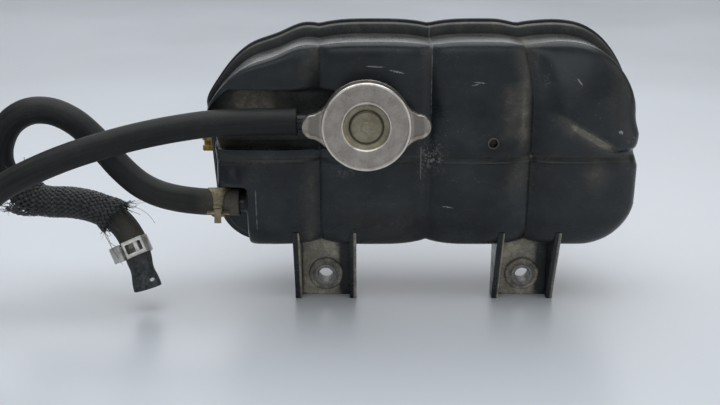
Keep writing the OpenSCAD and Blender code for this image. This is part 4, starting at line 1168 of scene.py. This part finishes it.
class TANK_OT_clamps(TankOperator, bpy.types.Operator):
    bl_idname = "tank.clamps"
    bl_label = "Hose clamps"

    def execute(self, context):
        sizes, colours = context.scene.hose_sizes, context.scene.finish_colours
        self.stub_clamp(sizes, plain_metal(
            "stub clamp", colours.tan_steel, 0.50, 0.60, (0.125, 0.085, 0.045), 0.45))
        self.end_clamp(sizes, plain_metal(
            "end clamp", colours.bright_steel, 0.36, 0.30, (0.16, 0.145, 0.12), 0.75))
        return {"FINISHED"}

    def stub_clamp(self, sizes, metal):
        centre, axis = Vector((-0.1507, -0.004, 0.059)), TO_LEFT
        opening = Vector((0, -0.985, -0.16)).normalized()
        radius = sizes.feed_d / 2 + 0.0001
        half = sizes.clamp_w / 2

        def width(turn):
            wide = 0.0033 + (half + 0.0040 - 0.0033) * smooth((1 - math.cos(turn)) / 1.5)
            return -wide, wide

        band = band_round("band", centre, axis, opening, radius, width, 0.0009, 0.42)
        beside = axis.cross(opening).normalized()
        pieces = [band]
        low = -1 if beside.z > 0 else 1
        for side in (-1, 1):
            out = (opening * math.cos(0.21) + beside * math.sin(0.21) * side).normalized()
            wide, tall = (0.0165, 0.0046) if side == low else (0.0062, 0.0058)
            pieces.append(plate_on("lug", centre + out * (radius + tall / 2 - 0.0004), beside, out,
                                   (wide, tall, 0.0011), 0.0003))
        down = Vector((0, -0.20, -0.98)).normalized()
        pieces.append(plate_on("tang", centre + opening * (radius + 0.0046) + down * 0.0034,
                               down.cross(axis), down, (0.0050, 0.0104, 0.0011), 0.0003))
        bridge = plate_on("bridge", centre + opening * (radius + 0.0022), opening, beside,
                          (0.0062, 0.0062, 0.0009), 0.0003)
        finished(joined("stub_clamp", *pieces, bridge), TANK, metal, ("feed_hose_clamp",), 40)

    def end_clamp(self, sizes, metal):
        line = curve_through(FEED_ROUTE)
        point, heading, _, _ = frames_along(line)[END_CLAMP_AT * 6]
        point = point + heading * 0.0034
        to_viewer = Vector((0.22, -0.95, 0.31))
        seen = (to_viewer - heading * to_viewer.dot(heading)).normalized()
        left = heading.cross(seen).normalized()
        if left.x > 0:
            left = -left
        radius, half = sizes.feed_d / 2, sizes.end_clamp_w / 2
        opening = (left * 0.93 + seen * 0.36).normalized()
        band = band_round("band", point, heading, opening, radius, lambda turn: (-half, half), 0.0010, 0.30)
        frame_out = (seen * 0.97 + left * 0.10).normalized()
        frame_out = (frame_out - heading * frame_out.dot(heading)).normalized()
        window = plate_on("window", point + frame_out * (radius + 0.0013), frame_out, heading,
                          (0.0150, sizes.end_clamp_w, 0.0020), 0.0004)
        metalwork = joined("metalwork", band, window)
        cutter = plate_on("cutter", point + frame_out * (radius + 0.001), frame_out, heading,
                          (0.0118, 0.0072, 0.008), 0.0008)
        apply_modifier(metalwork, "Window", "BOOLEAN", operation="DIFFERENCE", object=cutter, solver="EXACT")
        bpy.data.objects.remove(cutter)
        pin = plate_on("pin", point + frame_out * (radius + 0.0013) - left * 0.0018, frame_out, heading,
                       (0.0030, 0.0078, 0.0016), 0.0004)
        pieces = [metalwork, pin]
        beside = heading.cross(opening).normalized()
        for at, wide, tall in ((0.0020, 0.0118, 0.0096), (-0.0022, 0.0080, 0.0072)):
            middle = point + opening * (radius + tall / 2 - 0.0006) + beside * at
            pieces.append(plate_on("lug", middle, beside, opening, (wide, tall, 0.0013), 0.0004))
        block_out = (opening * 0.80 + seen * 0.60).normalized()
        pieces.append(plate_on("block", point + opening * (radius + 0.0052) + seen * 0.0024, block_out,
                               heading, (0.0084, 0.0118, 0.0022), 0.0006))
        finished(joined("free_end_clamp", *pieces), TANK, metal, ("end_clamp",), 40)


class TANK_OT_front(TankOperator, bpy.types.Operator):
    """Mould the lobed front half with its hose channel, notch, dome and flange"""
    bl_idname = "tank.front"
    bl_label = "Front half"

    def execute(self, context):
        sizes, fitting = context.scene.tank_sizes, context.scene.fitting_sizes
        form = TankForm(sizes)
        pits = ((fitting.neck_x, fitting.neck_z, fitting.neck_bore / 2 + 0.0019, 0.031),
                (GATE_X, GATE_Z, 0.0028, sizes.front_depth - 0.004))
        front = moulded_half("tank_front", form, form.front, True, 0.00125, pits)

        # The front half's dust mark: a dust film, and some terms that are painted highlights and painted
        # shade, as noted at each.
        def dust(p, n):
            x, z = p.x, p.z
            depth = sizes.weld_y - p.y
            amount = 0.10 * max(0.0, n.z) ** 2
            # Dust on the channel floor; its extra paleness on the upper left is a painted pool of light and
            # its fall-off to the right is painted shade.
            if x < sizes.channel_end + 0.002 and sizes.channel_z0 - 0.002 < z < sizes.channel_z1 + 0.002:
                floor = smooth((sizes.front_depth - 0.006 - depth) / 0.006)
                amount += floor * (0.30 + 0.72 * smooth((x + 0.150) / 0.02) * smooth((-0.092 - x) / 0.025)
                                   * smooth((z - 0.122) / 0.012))
            lobe = form.lobe(x)
            # A pale stripe on the first lobe's right flank: dust, and a painted highlight where the flank
            # faces the light.
            flank_dust_and_highlight = math.exp(-((x + 0.0835) / 0.0045) ** 2)
            amount += 0.42 * flank_dust_and_highlight * smooth((0.100 - z) / 0.02) * smooth((z - 0.026) / 0.01)
            amount += 0.22 * flank_dust_and_highlight * smooth((z - 0.146) / 0.01)
            amount += 0.30 * lobe ** 24 * smooth((z - 0.150) / 0.02)
            amount += (0.24 * math.exp(-((z - sizes.waist_z + 0.002) / 0.0022) ** 2)
                       * smooth((-0.075 - x) / 0.01))
            amount += 0.16 * math.exp(-((z - sizes.waist_z - 0.001) / 0.0016) ** 2)
            amount += 0.34 * smooth((0.036 - z) / 0.010) * (0.4 + 0.6 * lobe ** 4)
            # Pale patches on the third lobe's right flank: dust, and a painted warm reflection on that flank.
            amount += 0.46 * math.exp(-((x - 0.0655) / 0.0035) ** 2) * smooth((z - 0.10) / 0.01)
            amount += 0.30 * smooth((0.0075 - depth) / 0.004) * smooth((z - 0.14) / 0.02)
            # A pale band along the dome's slanting ridge: a painted highlight, sharp above the ridge and soft
            # below it.
            above = z - form.ridge(x) + 0.001
            ridge = above / (0.0021 if above > 0 else 0.0062) / (1 + 9 * abs(x - 0.110))
            amount += 1.25 * math.exp(-ridge ** 2) * smooth((x - 0.078) / 0.028) * smooth((0.137 - x) / 0.020)
            amount += 0.62 * math.exp(-((x - 0.1180) / 0.0085) ** 2 - ((z - 0.086) / 0.0105) ** 2)
            # More dust and painted warm reflection on the third lobe's right flank.
            amount += 0.66 * math.exp(-((x - 0.0590) / 0.0085) ** 2) * smooth((z - 0.108) / 0.012) * smooth(
                (0.156 - z) / 0.012)
            amount += 0.55 * math.exp(-((x - 0.0625) / 0.0065) ** 2 - ((z - 0.085) / 0.011) ** 2)
            # Slightly paler below a faint horizontal line across the second lobe.
            amount += (0.10 * smooth((0.0676 - z) / 0.0008) * smooth((x + 0.063) / 0.004)
                       * smooth((-0.008 - x) / 0.004))
            # Pale patches along the bottom edge near the left bracket: dust, and a painted highlight on that
            # edge.
            corner = math.exp(-((x + 0.1065) / 0.0060) ** 2) + 0.7 * math.exp(-((x + 0.0800) / 0.0040) ** 2)
            amount += 0.9 * corner * smooth((0.030 - z) / 0.006)
            return clamp01(amount)

        def scuff(p, n):
            def near(x, z, a, b):
                return math.exp(-((p.x - x) / a) ** 2 - ((p.z - z) / b) ** 2)
            marks = 1.0 * near(0.0025, 0.1000, 0.0068, 0.0085) + 0.9 * near(0.0042, 0.1010, 0.0020, 0.0024)
            marks += 0.35 * near(-0.0045, 0.092, 0.003, 0.010)
            marks += 0.40 * near(0.072, 0.0985, 0.0026, 0.0028) + 0.35 * near(0.078, 0.152, 0.003, 0.0035)
            marks += 0.30 * near(-0.060, 0.089, 0.010, 0.004) + 0.22 * near(0.140, 0.113, 0.005, 0.004)
            return clamp01(marks)

        paint(front, "dust", dust)
        paint(front, "scuff", scuff)
        plastic = finish_tank()
        finished(front, TANK, plastic, ("front_shell",), 50)
        weld, thick = sizes.weld_y, sizes.flange_t
        flange = flange_ring("front_flange", form, [
            (weld - 0.00015, 0.70), (weld - 0.0003, 0.76), (weld - 0.0008, 0.78), (weld - 0.0026, 0.71),
            (weld - 0.0032, 0.66), (weld - 0.0034, 0.60), (weld - thick - 0.0004, 0.0)])
        paint(flange, "dust", lambda p, n: clamp01(
            (0.50 + 0.24 * smooth((p.x + 0.01) / 0.05)) * max(0.0, n.z) ** 0.7 * smooth((p.z - 0.13) / 0.03)
            + 0.12 * smooth((p.z - 0.15) / 0.02)))
        finished(flange, TANK, plastic, ("front_shell",), 40)
        mark_y = sizes.weld_y - sizes.front_depth + 0.0006
        ring = turned("gate_mark", filleted([
            (0.0, -0.0026), (0.0029, -0.0026), (0.0030, 0.0014), (0.0039, 0.0015), (0.0044, -0.0016),
            (0.0034, -0.0042), (0.0, -0.0042)], 0.0003, 2),
            Vector((GATE_X, mark_y, GATE_Z)), TO_FRONT, SIDEWAYS, 36)
        # The gate mark's outer rim is painted pale: dust, and a painted highlight along the raised rim.
        paint(ring, "dust", lambda p, n: (
            0.80 * smooth((math.hypot(p.x - GATE_X, p.z - GATE_Z) - 0.0026) / 0.0006)))
        finished(ring, TANK, plastic, ("front_shell",), 40)
        return {"FINISHED"}


class TANK_OT_rear(TankOperator, bpy.types.Operator):
    """Mould the plain rear half and its flange"""
    bl_idname = "tank.rear"
    bl_label = "Rear half"

    def execute(self, context):
        sizes = context.scene.tank_sizes
        form = TankForm(sizes)
        rear = moulded_half("tank_rear", form, form.rear, False, 0.0020)
        paint(rear, "dust", lambda p, n: clamp01(
            0.14 * max(0.0, n.z) ** 2 + 0.12 * smooth((0.04 - p.z) / 0.02)))
        plastic = finish_tank()
        finished(rear, TANK, plastic, ("rear_shell",), 50)
        weld, thick = sizes.weld_y, sizes.flange_t
        flange = flange_ring("rear_flange", form, [
            (weld + 0.00015, 0.90), (weld + 0.0002, 0.96), (weld + 0.0007, 1.0), (weld + thick - 0.0006, 1.0),
            (weld + thick - 0.0001, 0.96), (weld + thick, 0.90)])
        paint(flange, "dust", lambda p, n: clamp01(0.30 * max(0.0, n.z) ** 1.5))
        finished(flange, TANK, plastic, ("rear_shell",), 40)
        return {"FINISHED"}


class TANK_OT_neck(TankOperator, bpy.types.Operator):
    """Turn the filler neck, its overflow nipple and the feed stub"""
    bl_idname = "tank.neck"
    bl_label = "Neck and stubs"

    def execute(self, context):
        sizes, s = context.scene.tank_sizes, context.scene.fitting_sizes
        bore, wall = s.neck_bore / 2, s.neck_bore / 2 + s.neck_wall
        crown, rim, seat = sizes.front_depth - sizes.weld_y, s.rim_h, s.rim_h - 0.0235
        axis_at = Vector((s.neck_x, 0, s.neck_z))
        cam = wall + 0.0033
        profile = [
            (bore, seat), (bore, rim - 0.0004), (bore + 0.0004, rim), (cam - 0.0006, rim),
            (cam, rim - 0.0005), (cam, rim - 0.0028), (cam - 0.0004, rim - 0.0032),
            (wall + 0.0004, rim - 0.0034),
            (wall, rim - 0.0042), (wall, crown + 0.0050), (wall + 0.0008, crown + 0.0022),
            (wall + 0.0028, crown + 0.0004), (wall + 0.0050, crown - 0.0008),
            (wall + 0.0050, crown - 0.0030), (wall, crown - 0.0030), (wall, seat - 0.003),
            (0.010, seat - 0.003), (0.010, seat), (bore, seat)]
        neck = turned("neck_tube", profile, axis_at, TO_FRONT, SIDEWAYS, 96)
        nipple_r = s.nipple_d / 2
        nipple_at = axis_at + TO_FRONT * (rim - 0.014) + TO_LEFT * (wall - 0.0015)
        nipple = turned("nipple", filleted([
            (nipple_r - 0.002, 0.0), (nipple_r + 0.0022, 0.0), (nipple_r + 0.0006, 0.0030),
            (nipple_r, 0.0045), (nipple_r, 0.0405), (nipple_r + 0.0005, 0.0410),
            (nipple_r - 0.0005, 0.0460), (nipple_r - 0.002, 0.0460), (nipple_r - 0.002, 0.0)], 0.0004, 2),
            nipple_at, TO_LEFT, UPWARD, 48)
        plastic = finish_tank()
        finished(joined("filler_neck", neck, nipple), TANK, plastic, ("front_shell",), 40)
        stub_r = s.stub_d / 2
        stub = turned("feed_stub", filleted([
            (stub_r - 0.002, 0.0), (stub_r + 0.0030, 0.0), (stub_r + 0.0008, 0.0058), (stub_r, 0.0075),
            (stub_r, 0.0240), (stub_r + 0.0005, 0.0245), (stub_r - 0.0008, 0.0300), (stub_r - 0.002, 0.0300),
            (stub_r - 0.002, 0.0)], 0.0005, 2),
            Vector((sizes.notch_x + 0.005, sizes.weld_y - 0.020, 0.059)), TO_LEFT, UPWARD, 48)
        finished(stub, TANK, plastic, ("front_shell",), 40)
        return {"FINISHED"}


class TANK_OT_brackets(TankOperator, bpy.types.Operator):
    """Build the two bracket legs, each a plate between two ribs"""
    bl_idname = "tank.brackets"
    bl_label = "Brackets"

    def execute(self, context):
        sizes, s = context.scene.tank_sizes, context.scene.fitting_sizes
        form = TankForm(sizes)
        plate_y, back = 0.004, 0.004 + s.plate_t
        top_y = -sizes.front_depth + sizes.weld_y + 0.005
        foot = -s.foot_drop

        def under_body(x, y):
            d = (sizes.weld_y - y - sizes.flange_t) / (sizes.front_depth - sizes.flange_t)
            return (form.mid - form.half_h * (1 - min(d, 0.99) ** 4) ** 0.25
                    + sizes.scallop * form.lobe(x) ** 3)

        for side, name in ((-1, "left_bracket"), (1, "right_bracket")):
            x = side * s.bolt_spacing / 2
            half = s.bracket_w / 2
            plate = block("plate", (x - half - 0.001, plate_y, foot),
                          (x + half + 0.001, back, sizes.body_z + 0.0045), 0.0006, 3)
            drilled(plate, (x, plate_y + s.plate_t / 2, 0), TO_BACK, 0.0100, 0.02)
            with editing(plate):
                bpy.ops.mesh.quads_convert_to_tris()
            apply_modifier(plate, "Fine", "SUBSURF", subdivision_type="SIMPLE", levels=3)
            pieces = [plate]
            for left in (x - half - s.rib_t, x + half):
                line = [(back + 0.0006, foot), (plate_y - 0.0080, foot), (plate_y - 0.0086, foot + 0.004),
                        (top_y, under_body(left, top_y) - 0.0005)]
                steps = 7
                for i in range(1, steps + 1):
                    y = top_y + (back - top_y) * i / steps
                    line.append((y, under_body(left, y) + 0.0025))
                rib = slab("rib", [(left, y, z) for y, z in line], (s.rib_t, 0, 0), 0.0007, 3)
                apply_modifier(rib, "Fine", "SUBSURF", subdivision_type="SIMPLE", levels=2)
                pieces.append(rib)
            bracket = joined(name, *pieces)

            # The bracket's dust mark: dust on the plate's front, with painted shade and painted highlights as
            # noted below.
            def dust(p, n, x=x, half=half, side=side):
                on_plate = smooth((half - abs(p.x - x)) / 0.0012) * clamp01(-n.y)
                # The plate's right part is left dark: painted shadow of the right rib.
                shade = 1 - 0.97 * smooth((p.x - x - half + 0.0095) / 0.0025)
                # Thin pale lines on the ribs' inner edges: painted highlights where those edges face the
                # light.
                inner = abs(abs(p.x - x) - half) if p.x < x else abs(abs(p.x - x) - half - 0.0042)
                edge = 0.75 * smooth((0.0012 - inner) / 0.0006) * smooth((0.001 - p.y) / 0.002)
                return clamp01(0.80 * on_plate * shade + 0.22 * clamp01(n.z) ** 2 + edge)

            paint(bracket, "dust", dust)
            finished(bracket, TANK, finish_brackets(), ("front_shell",), 40)
        return {"FINISHED"}


class TANK_OT_bushes(TankOperator, bpy.types.Operator):
    """Turn the rubber grommets and the steel sleeves of both legs"""
    bl_idname = "tank.bushes"
    bl_label = "Grommets and sleeves"

    def execute(self, context):
        s = context.scene.fitting_sizes
        rubber = plain_rubber("grommet rubber", (0.105, 0.098, 0.086), 0.60, 1.1, 2.2)
        zinc = plain_metal("sleeve zinc", (0.27, 0.265, 0.25), 0.50, 0.55, (0.10, 0.09, 0.075), 0.7)
        for side, word in ((-1, "left"), (1, "right")):
            at = Vector((side * s.bolt_spacing / 2, 0, 0))
            grommet = turned(word + "_grommet_rubber", filleted([
                (0.00725, 0.0010), (0.0094, 0.0010), (0.0100, 0.0017), (0.0118, 0.0013), (0.0128, 0.0022),
                (0.0128, 0.0038), (0.0121, 0.0040), (0.0100, 0.0040), (0.0100, 0.0080), (0.0128, 0.0080),
                (0.0128, 0.0098), (0.0118, 0.0110), (0.00725, 0.0110), (0.00725, 0.0010)], 0.0006, 3),
                at, TO_BACK, SIDEWAYS, 72)
            finished(grommet, TANK, rubber, (word + "_grommet",))
            sleeve = turned(word + "_sleeve_steel", filleted([
                (0.0055, 0.0006), (0.0062, 0.0), (0.0080, 0.0), (0.0085, 0.0004), (0.0085, 0.0010),
                (0.00725, 0.0010), (0.00725, 0.0120), (0.0057, 0.0120), (0.0055, 0.0117),
                (0.0055, 0.0006)], 0.0002, 2),
                at, TO_BACK, SIDEWAYS, 72)
            finished(sleeve, TANK, zinc, (word + "_sleeve",))
        return {"FINISHED"}


class TANK_OT_cap(TankOperator, bpy.types.Operator):
    """Press the cap's cover with its two ears, bead and sunk ring, and set its rivet"""
    bl_idname = "tank.cap"
    bl_label = "Pressure cap"

    def execute(self, context):
        s, neck = context.scene.cap_sizes, context.scene.fitting_sizes
        at = Vector((neck.neck_x, 0, neck.neck_z))
        r, top, sheet = s.cap_d / 2, s.cover_h, s.cap_sheet
        dish, boss, low = s.dish_d / 2, s.boss_d / 2, s.cover_h - s.cap_skirt
        upper = [(0.0, top - 0.0004), (boss - 0.0012, top - 0.0004), (boss - 0.0003, top - 0.00055),
                 (boss + 0.0004, top - 0.0021), (dish - 0.0022, top - 0.0015), (dish - 0.0006, top - 0.0007),
                 (dish + 0.0001, top + 0.0002), (dish + 0.0006, top + 0.00035), (dish + 0.0012, top + 0.0001),
                 (dish + 0.0020, top), (r - 0.0036, top), (r - 0.0026, top + 0.0001),
                 (r - 0.0020, top + 0.0005), (r - 0.0012, top + 0.0006), (r - 0.0005, top + 0.0002),
                 (r - 0.0001, top - 0.0006),
                 (r, top - 0.0016), (r, low + 0.0012), (r + 0.0003, low + 0.0006), (r + 0.0002, low),
                 (r - 0.0006, low - 0.0001), (r - sheet, low + 0.0005)]
        lower = [(r - sheet, top - 0.0022), (r - 0.0020, top - 0.0012), (dish + 0.0014, top - 0.0011),
                 (dish - 0.0010, top - 0.0020), (boss + 0.0002, top - 0.0027), (boss - 0.0010, top - 0.0017),
                 (0.0, top - 0.0016)]
        cover = turned("cover", filleted(upper + lower, 0.0005, 3), at, TO_FRONT, SIDEWAYS, 160)
        pieces = [cover] + [self.ear(at, s, turn) for turn in (0, math.pi)]
        cap = joined("cap_cover_steel", *pieces)
        finished(cap, CAP, cap_metal("cap steel"), ("cap_cover",), 40)
        rivet = turned("cap_rivet_head", filleted([
            (0.0, top + 0.00025), (0.0024, top + 0.0002), (0.0038, top - 0.00015), (0.0040, top - 0.0006),
            (0.0020, top - 0.0006), (0.0020, top - 0.0046), (0.0, top - 0.0046)], 0.0004, 3), at, TO_FRONT,
            SIDEWAYS, 64)
        finished(rivet, CAP, cap_metal("cap steel"), ("cap_rivet",), 40)
        return {"FINISHED"}

    def ear(self, at, s, turn):
        """One ear: its outline drawn in rings, over the rolled edge and down its turned side."""
        tip, tip_r = s.ear_reach, s.ear_r
        half = [(0.0235, 0.0163), (0.0262, 0.0150), (0.0285, 0.0131), (0.0302, 0.0114), (0.0322, 0.0102)]
        half += [(tip + tip_r * math.cos(a), tip_r * math.sin(a)) for a in
                 (math.radians(90 - 90 * i / 14) for i in range(15))]
        corners = half + [(x, -y) for x, y in reversed(half[:-1])]
        outline = []
        for a, b in zip(corners, corners[1:]):
            outline += [Vector(a), Vector(a).lerp(Vector(b), 0.5)]
        outline.append(Vector(corners[-1]))

        def inset(distance):
            ring = []
            for i, p in enumerate(outline):
                a, b = outline[max(i - 1, 0)], outline[min(i + 1, len(outline) - 1)]
                way = (b - a).normalized()
                ring.append(p + Vector((way.y, -way.x)) * distance)
            return ring

        top = s.cover_h - 0.0006
        low = top - s.ear_lip
        steps = [(0.0010, low + 0.0002), (0.0004, low - 0.0001), (0.0, low + 0.0004), (-0.0003, low + 0.0036),
                 (0.0, low + 0.0042), (0.0001, top - 0.0012), (0.0004, top - 0.0003), (0.0009, top + 0.00005),
                 (0.0015, top - 0.00005), (0.0021, top - 0.0005), (0.0030, top - 0.0007),
                 (0.0048, top - 0.0007)]
        under = [(0.0048, top - 0.0017), (0.0024, top - 0.0017), (0.0013, top - 0.0020),
                 (0.0010, top - 0.0032)]
        mesh = bpy.data.meshes.new("ear")
        obj = bpy.data.objects.new("ear", mesh)
        bpy.context.scene.collection.objects.link(obj)
        build = bmesh.new()
        rings = []
        cosine, sine = math.cos(turn), math.sin(turn)
        for distance, height in steps + under:
            rings.append([build.verts.new(at + Vector((
                p.x * cosine - p.y * sine, -height, p.x * sine + p.y * cosine)))
                for p in inset(distance)])
        count, n = len(outline), len(rings)
        for i in range(n):
            a, b = rings[i], rings[(i + 1) % n]
            if i == len(steps) - 1:
                continue
            for k in range(count - 1):
                build.faces.new((a[k], b[k], b[k + 1], a[k + 1]))
        build.faces.new(rings[len(steps) - 1])
        build.faces.new(list(reversed(rings[len(steps)])))
        edges = [e for e in build.edges if e.is_boundary]
        bmesh.ops.holes_fill(build, edges=edges, sides=0)
        build.to_mesh(mesh)
        build.free()
        outward(obj, 0.000001)
        return obj


class TANK_OT_valve(TankOperator, bpy.types.Operator):
    """Give the pieces of the pressure valve under the cap their metals and rubbers"""
    bl_idname = "tank.valve"
    bl_label = "Valve finishes"

    def execute(self, context):
        spring = plain_metal("spring steel", (0.40, 0.40, 0.39), 0.30, 0.15)
        brass = plain_metal("valve brass", (0.62, 0.46, 0.20), 0.34, 0.25, (0.16, 0.11, 0.05), 0.95)
        rubber = plain_rubber("seal rubber", (0.024, 0.024, 0.025), 0.55, 0.15)
        steel = finish_steel_parts()
        for node, material in (
                ("cap_diaphragm", spring), ("cap_gasket", rubber), ("valve_cage", steel),
                ("pressure_spring", spring), ("pressure_plate", steel), ("pressure_seal", rubber),
                ("vacuum_valve", brass), ("vacuum_spring", spring)):
            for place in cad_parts[node].material_slots:
                place.material = material
        return {"FINISHED"}


class TANK_OT_side_plug(TankOperator, bpy.types.Operator):
    """Build the yellow side plug and its sealing ring"""
    bl_idname = "tank.side_plug"
    bl_label = "Side plug"

    def execute(self, context):
        sizes, s = context.scene.tank_sizes, context.scene.fitting_sizes
        at = Vector((-sizes.body_w / 2, sizes.weld_y + 0.022, s.plug_z))
        r, grip = s.plug_d / 2, (s.plug_d - 0.005) / 2
        shank = turned("collar", filleted([
            (0.0, -0.007), (0.0055, -0.007), (0.0055, 0.0015), (r - 0.0008, 0.0015), (r, 0.0022), (r, 0.0046),
            (r - 0.0009, 0.0055), (grip * 0.6, 0.0058), (0.0, 0.0058)], 0.0004, 3), at, TO_LEFT, UPWARD, 64)
        body = block("grip", at + Vector((-0.0175, -grip, -grip)), at + Vector((-0.0050, grip, grip)),
                     0.0011, 3)
        for low, high in (((-0.0190, -grip - 0.001, -0.0018), (-0.0105, -grip + 0.0042, 0.0026)),
                          ((-0.0190, -0.0030, -0.0030), (-0.0120, 0.0030, 0.0030))):
            hollow = block("hollow", at + Vector(low), at + Vector(high), 0.0006, 2)
            apply_modifier(body, "Hollow", "BOOLEAN", operation="DIFFERENCE", object=hollow, solver="EXACT")
            bpy.data.objects.remove(hollow)
        finished(joined("side_plug", shank, body), TANK, yellow_resin("side plug resin"),
                 ("port_plug",), 40)
        ring = turned("plug_ring_rubber", filleted([
            (0.0055, 0.0), (r - 0.0005, 0.0), (r - 0.0005, 0.0015), (0.0055, 0.0015),
            (0.0055, 0.0)], 0.0005, 3), at, TO_LEFT, UPWARD, 64)
        finished(ring, TANK, plain_rubber("seal rubber", (0.024, 0.024, 0.025), 0.55, 0.15),
                 ("port_plug_ring",), 40)
        return {"FINISHED"}


OPERATORS = (
    TANK_OT_stage, TANK_OT_hoses, TANK_OT_braid, TANK_OT_clamps, TANK_OT_front, TANK_OT_rear,
    TANK_OT_neck, TANK_OT_brackets, TANK_OT_bushes, TANK_OT_cap, TANK_OT_valve, TANK_OT_side_plug)
GROUPS = {
    "tank_sizes": TankSizes, "fitting_sizes": FittingSizes, "cap_sizes": CapSizes,
    "hose_sizes": HoseSizes, "finish_colours": FinishColours}


class TANK_PT_panel(bpy.types.Panel):
    """Sizes, colours and pieces of the coolant expansion tank"""
    bl_label = "Coolant Expansion Tank"
    bl_idname = "TANK_PT_panel"
    bl_space_type = "VIEW_3D"
    bl_region_type = "UI"
    bl_category = "Tank"

    def draw(self, context):
        layout = self.layout
        for operator in OPERATORS:
            layout.operator(operator.bl_idname)
        for name, group in GROUPS.items():
            box = layout.box()
            box.label(text=group.__doc__)
            for key in group.__annotations__:
                box.prop(getattr(context.scene, name), key)


def register():
    for cls in (*GROUPS.values(), *OPERATORS, TANK_PT_panel):
        bpy.utils.register_class(cls)
    for name, group in GROUPS.items():
        setattr(bpy.types.Scene, name, bpy.props.PointerProperty(type=group))


def unregister():
    for name in GROUPS:
        delattr(bpy.types.Scene, name)
    for cls in reversed((*GROUPS.values(), *OPERATORS, TANK_PT_panel)):
        bpy.utils.unregister_class(cls)


def main():
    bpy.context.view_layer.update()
    register()
    for operator in OPERATORS:
        group, name = operator.bl_idname.split(".")
        getattr(getattr(bpy.ops, group), name)()


if __name__ == "__main__":
    main()
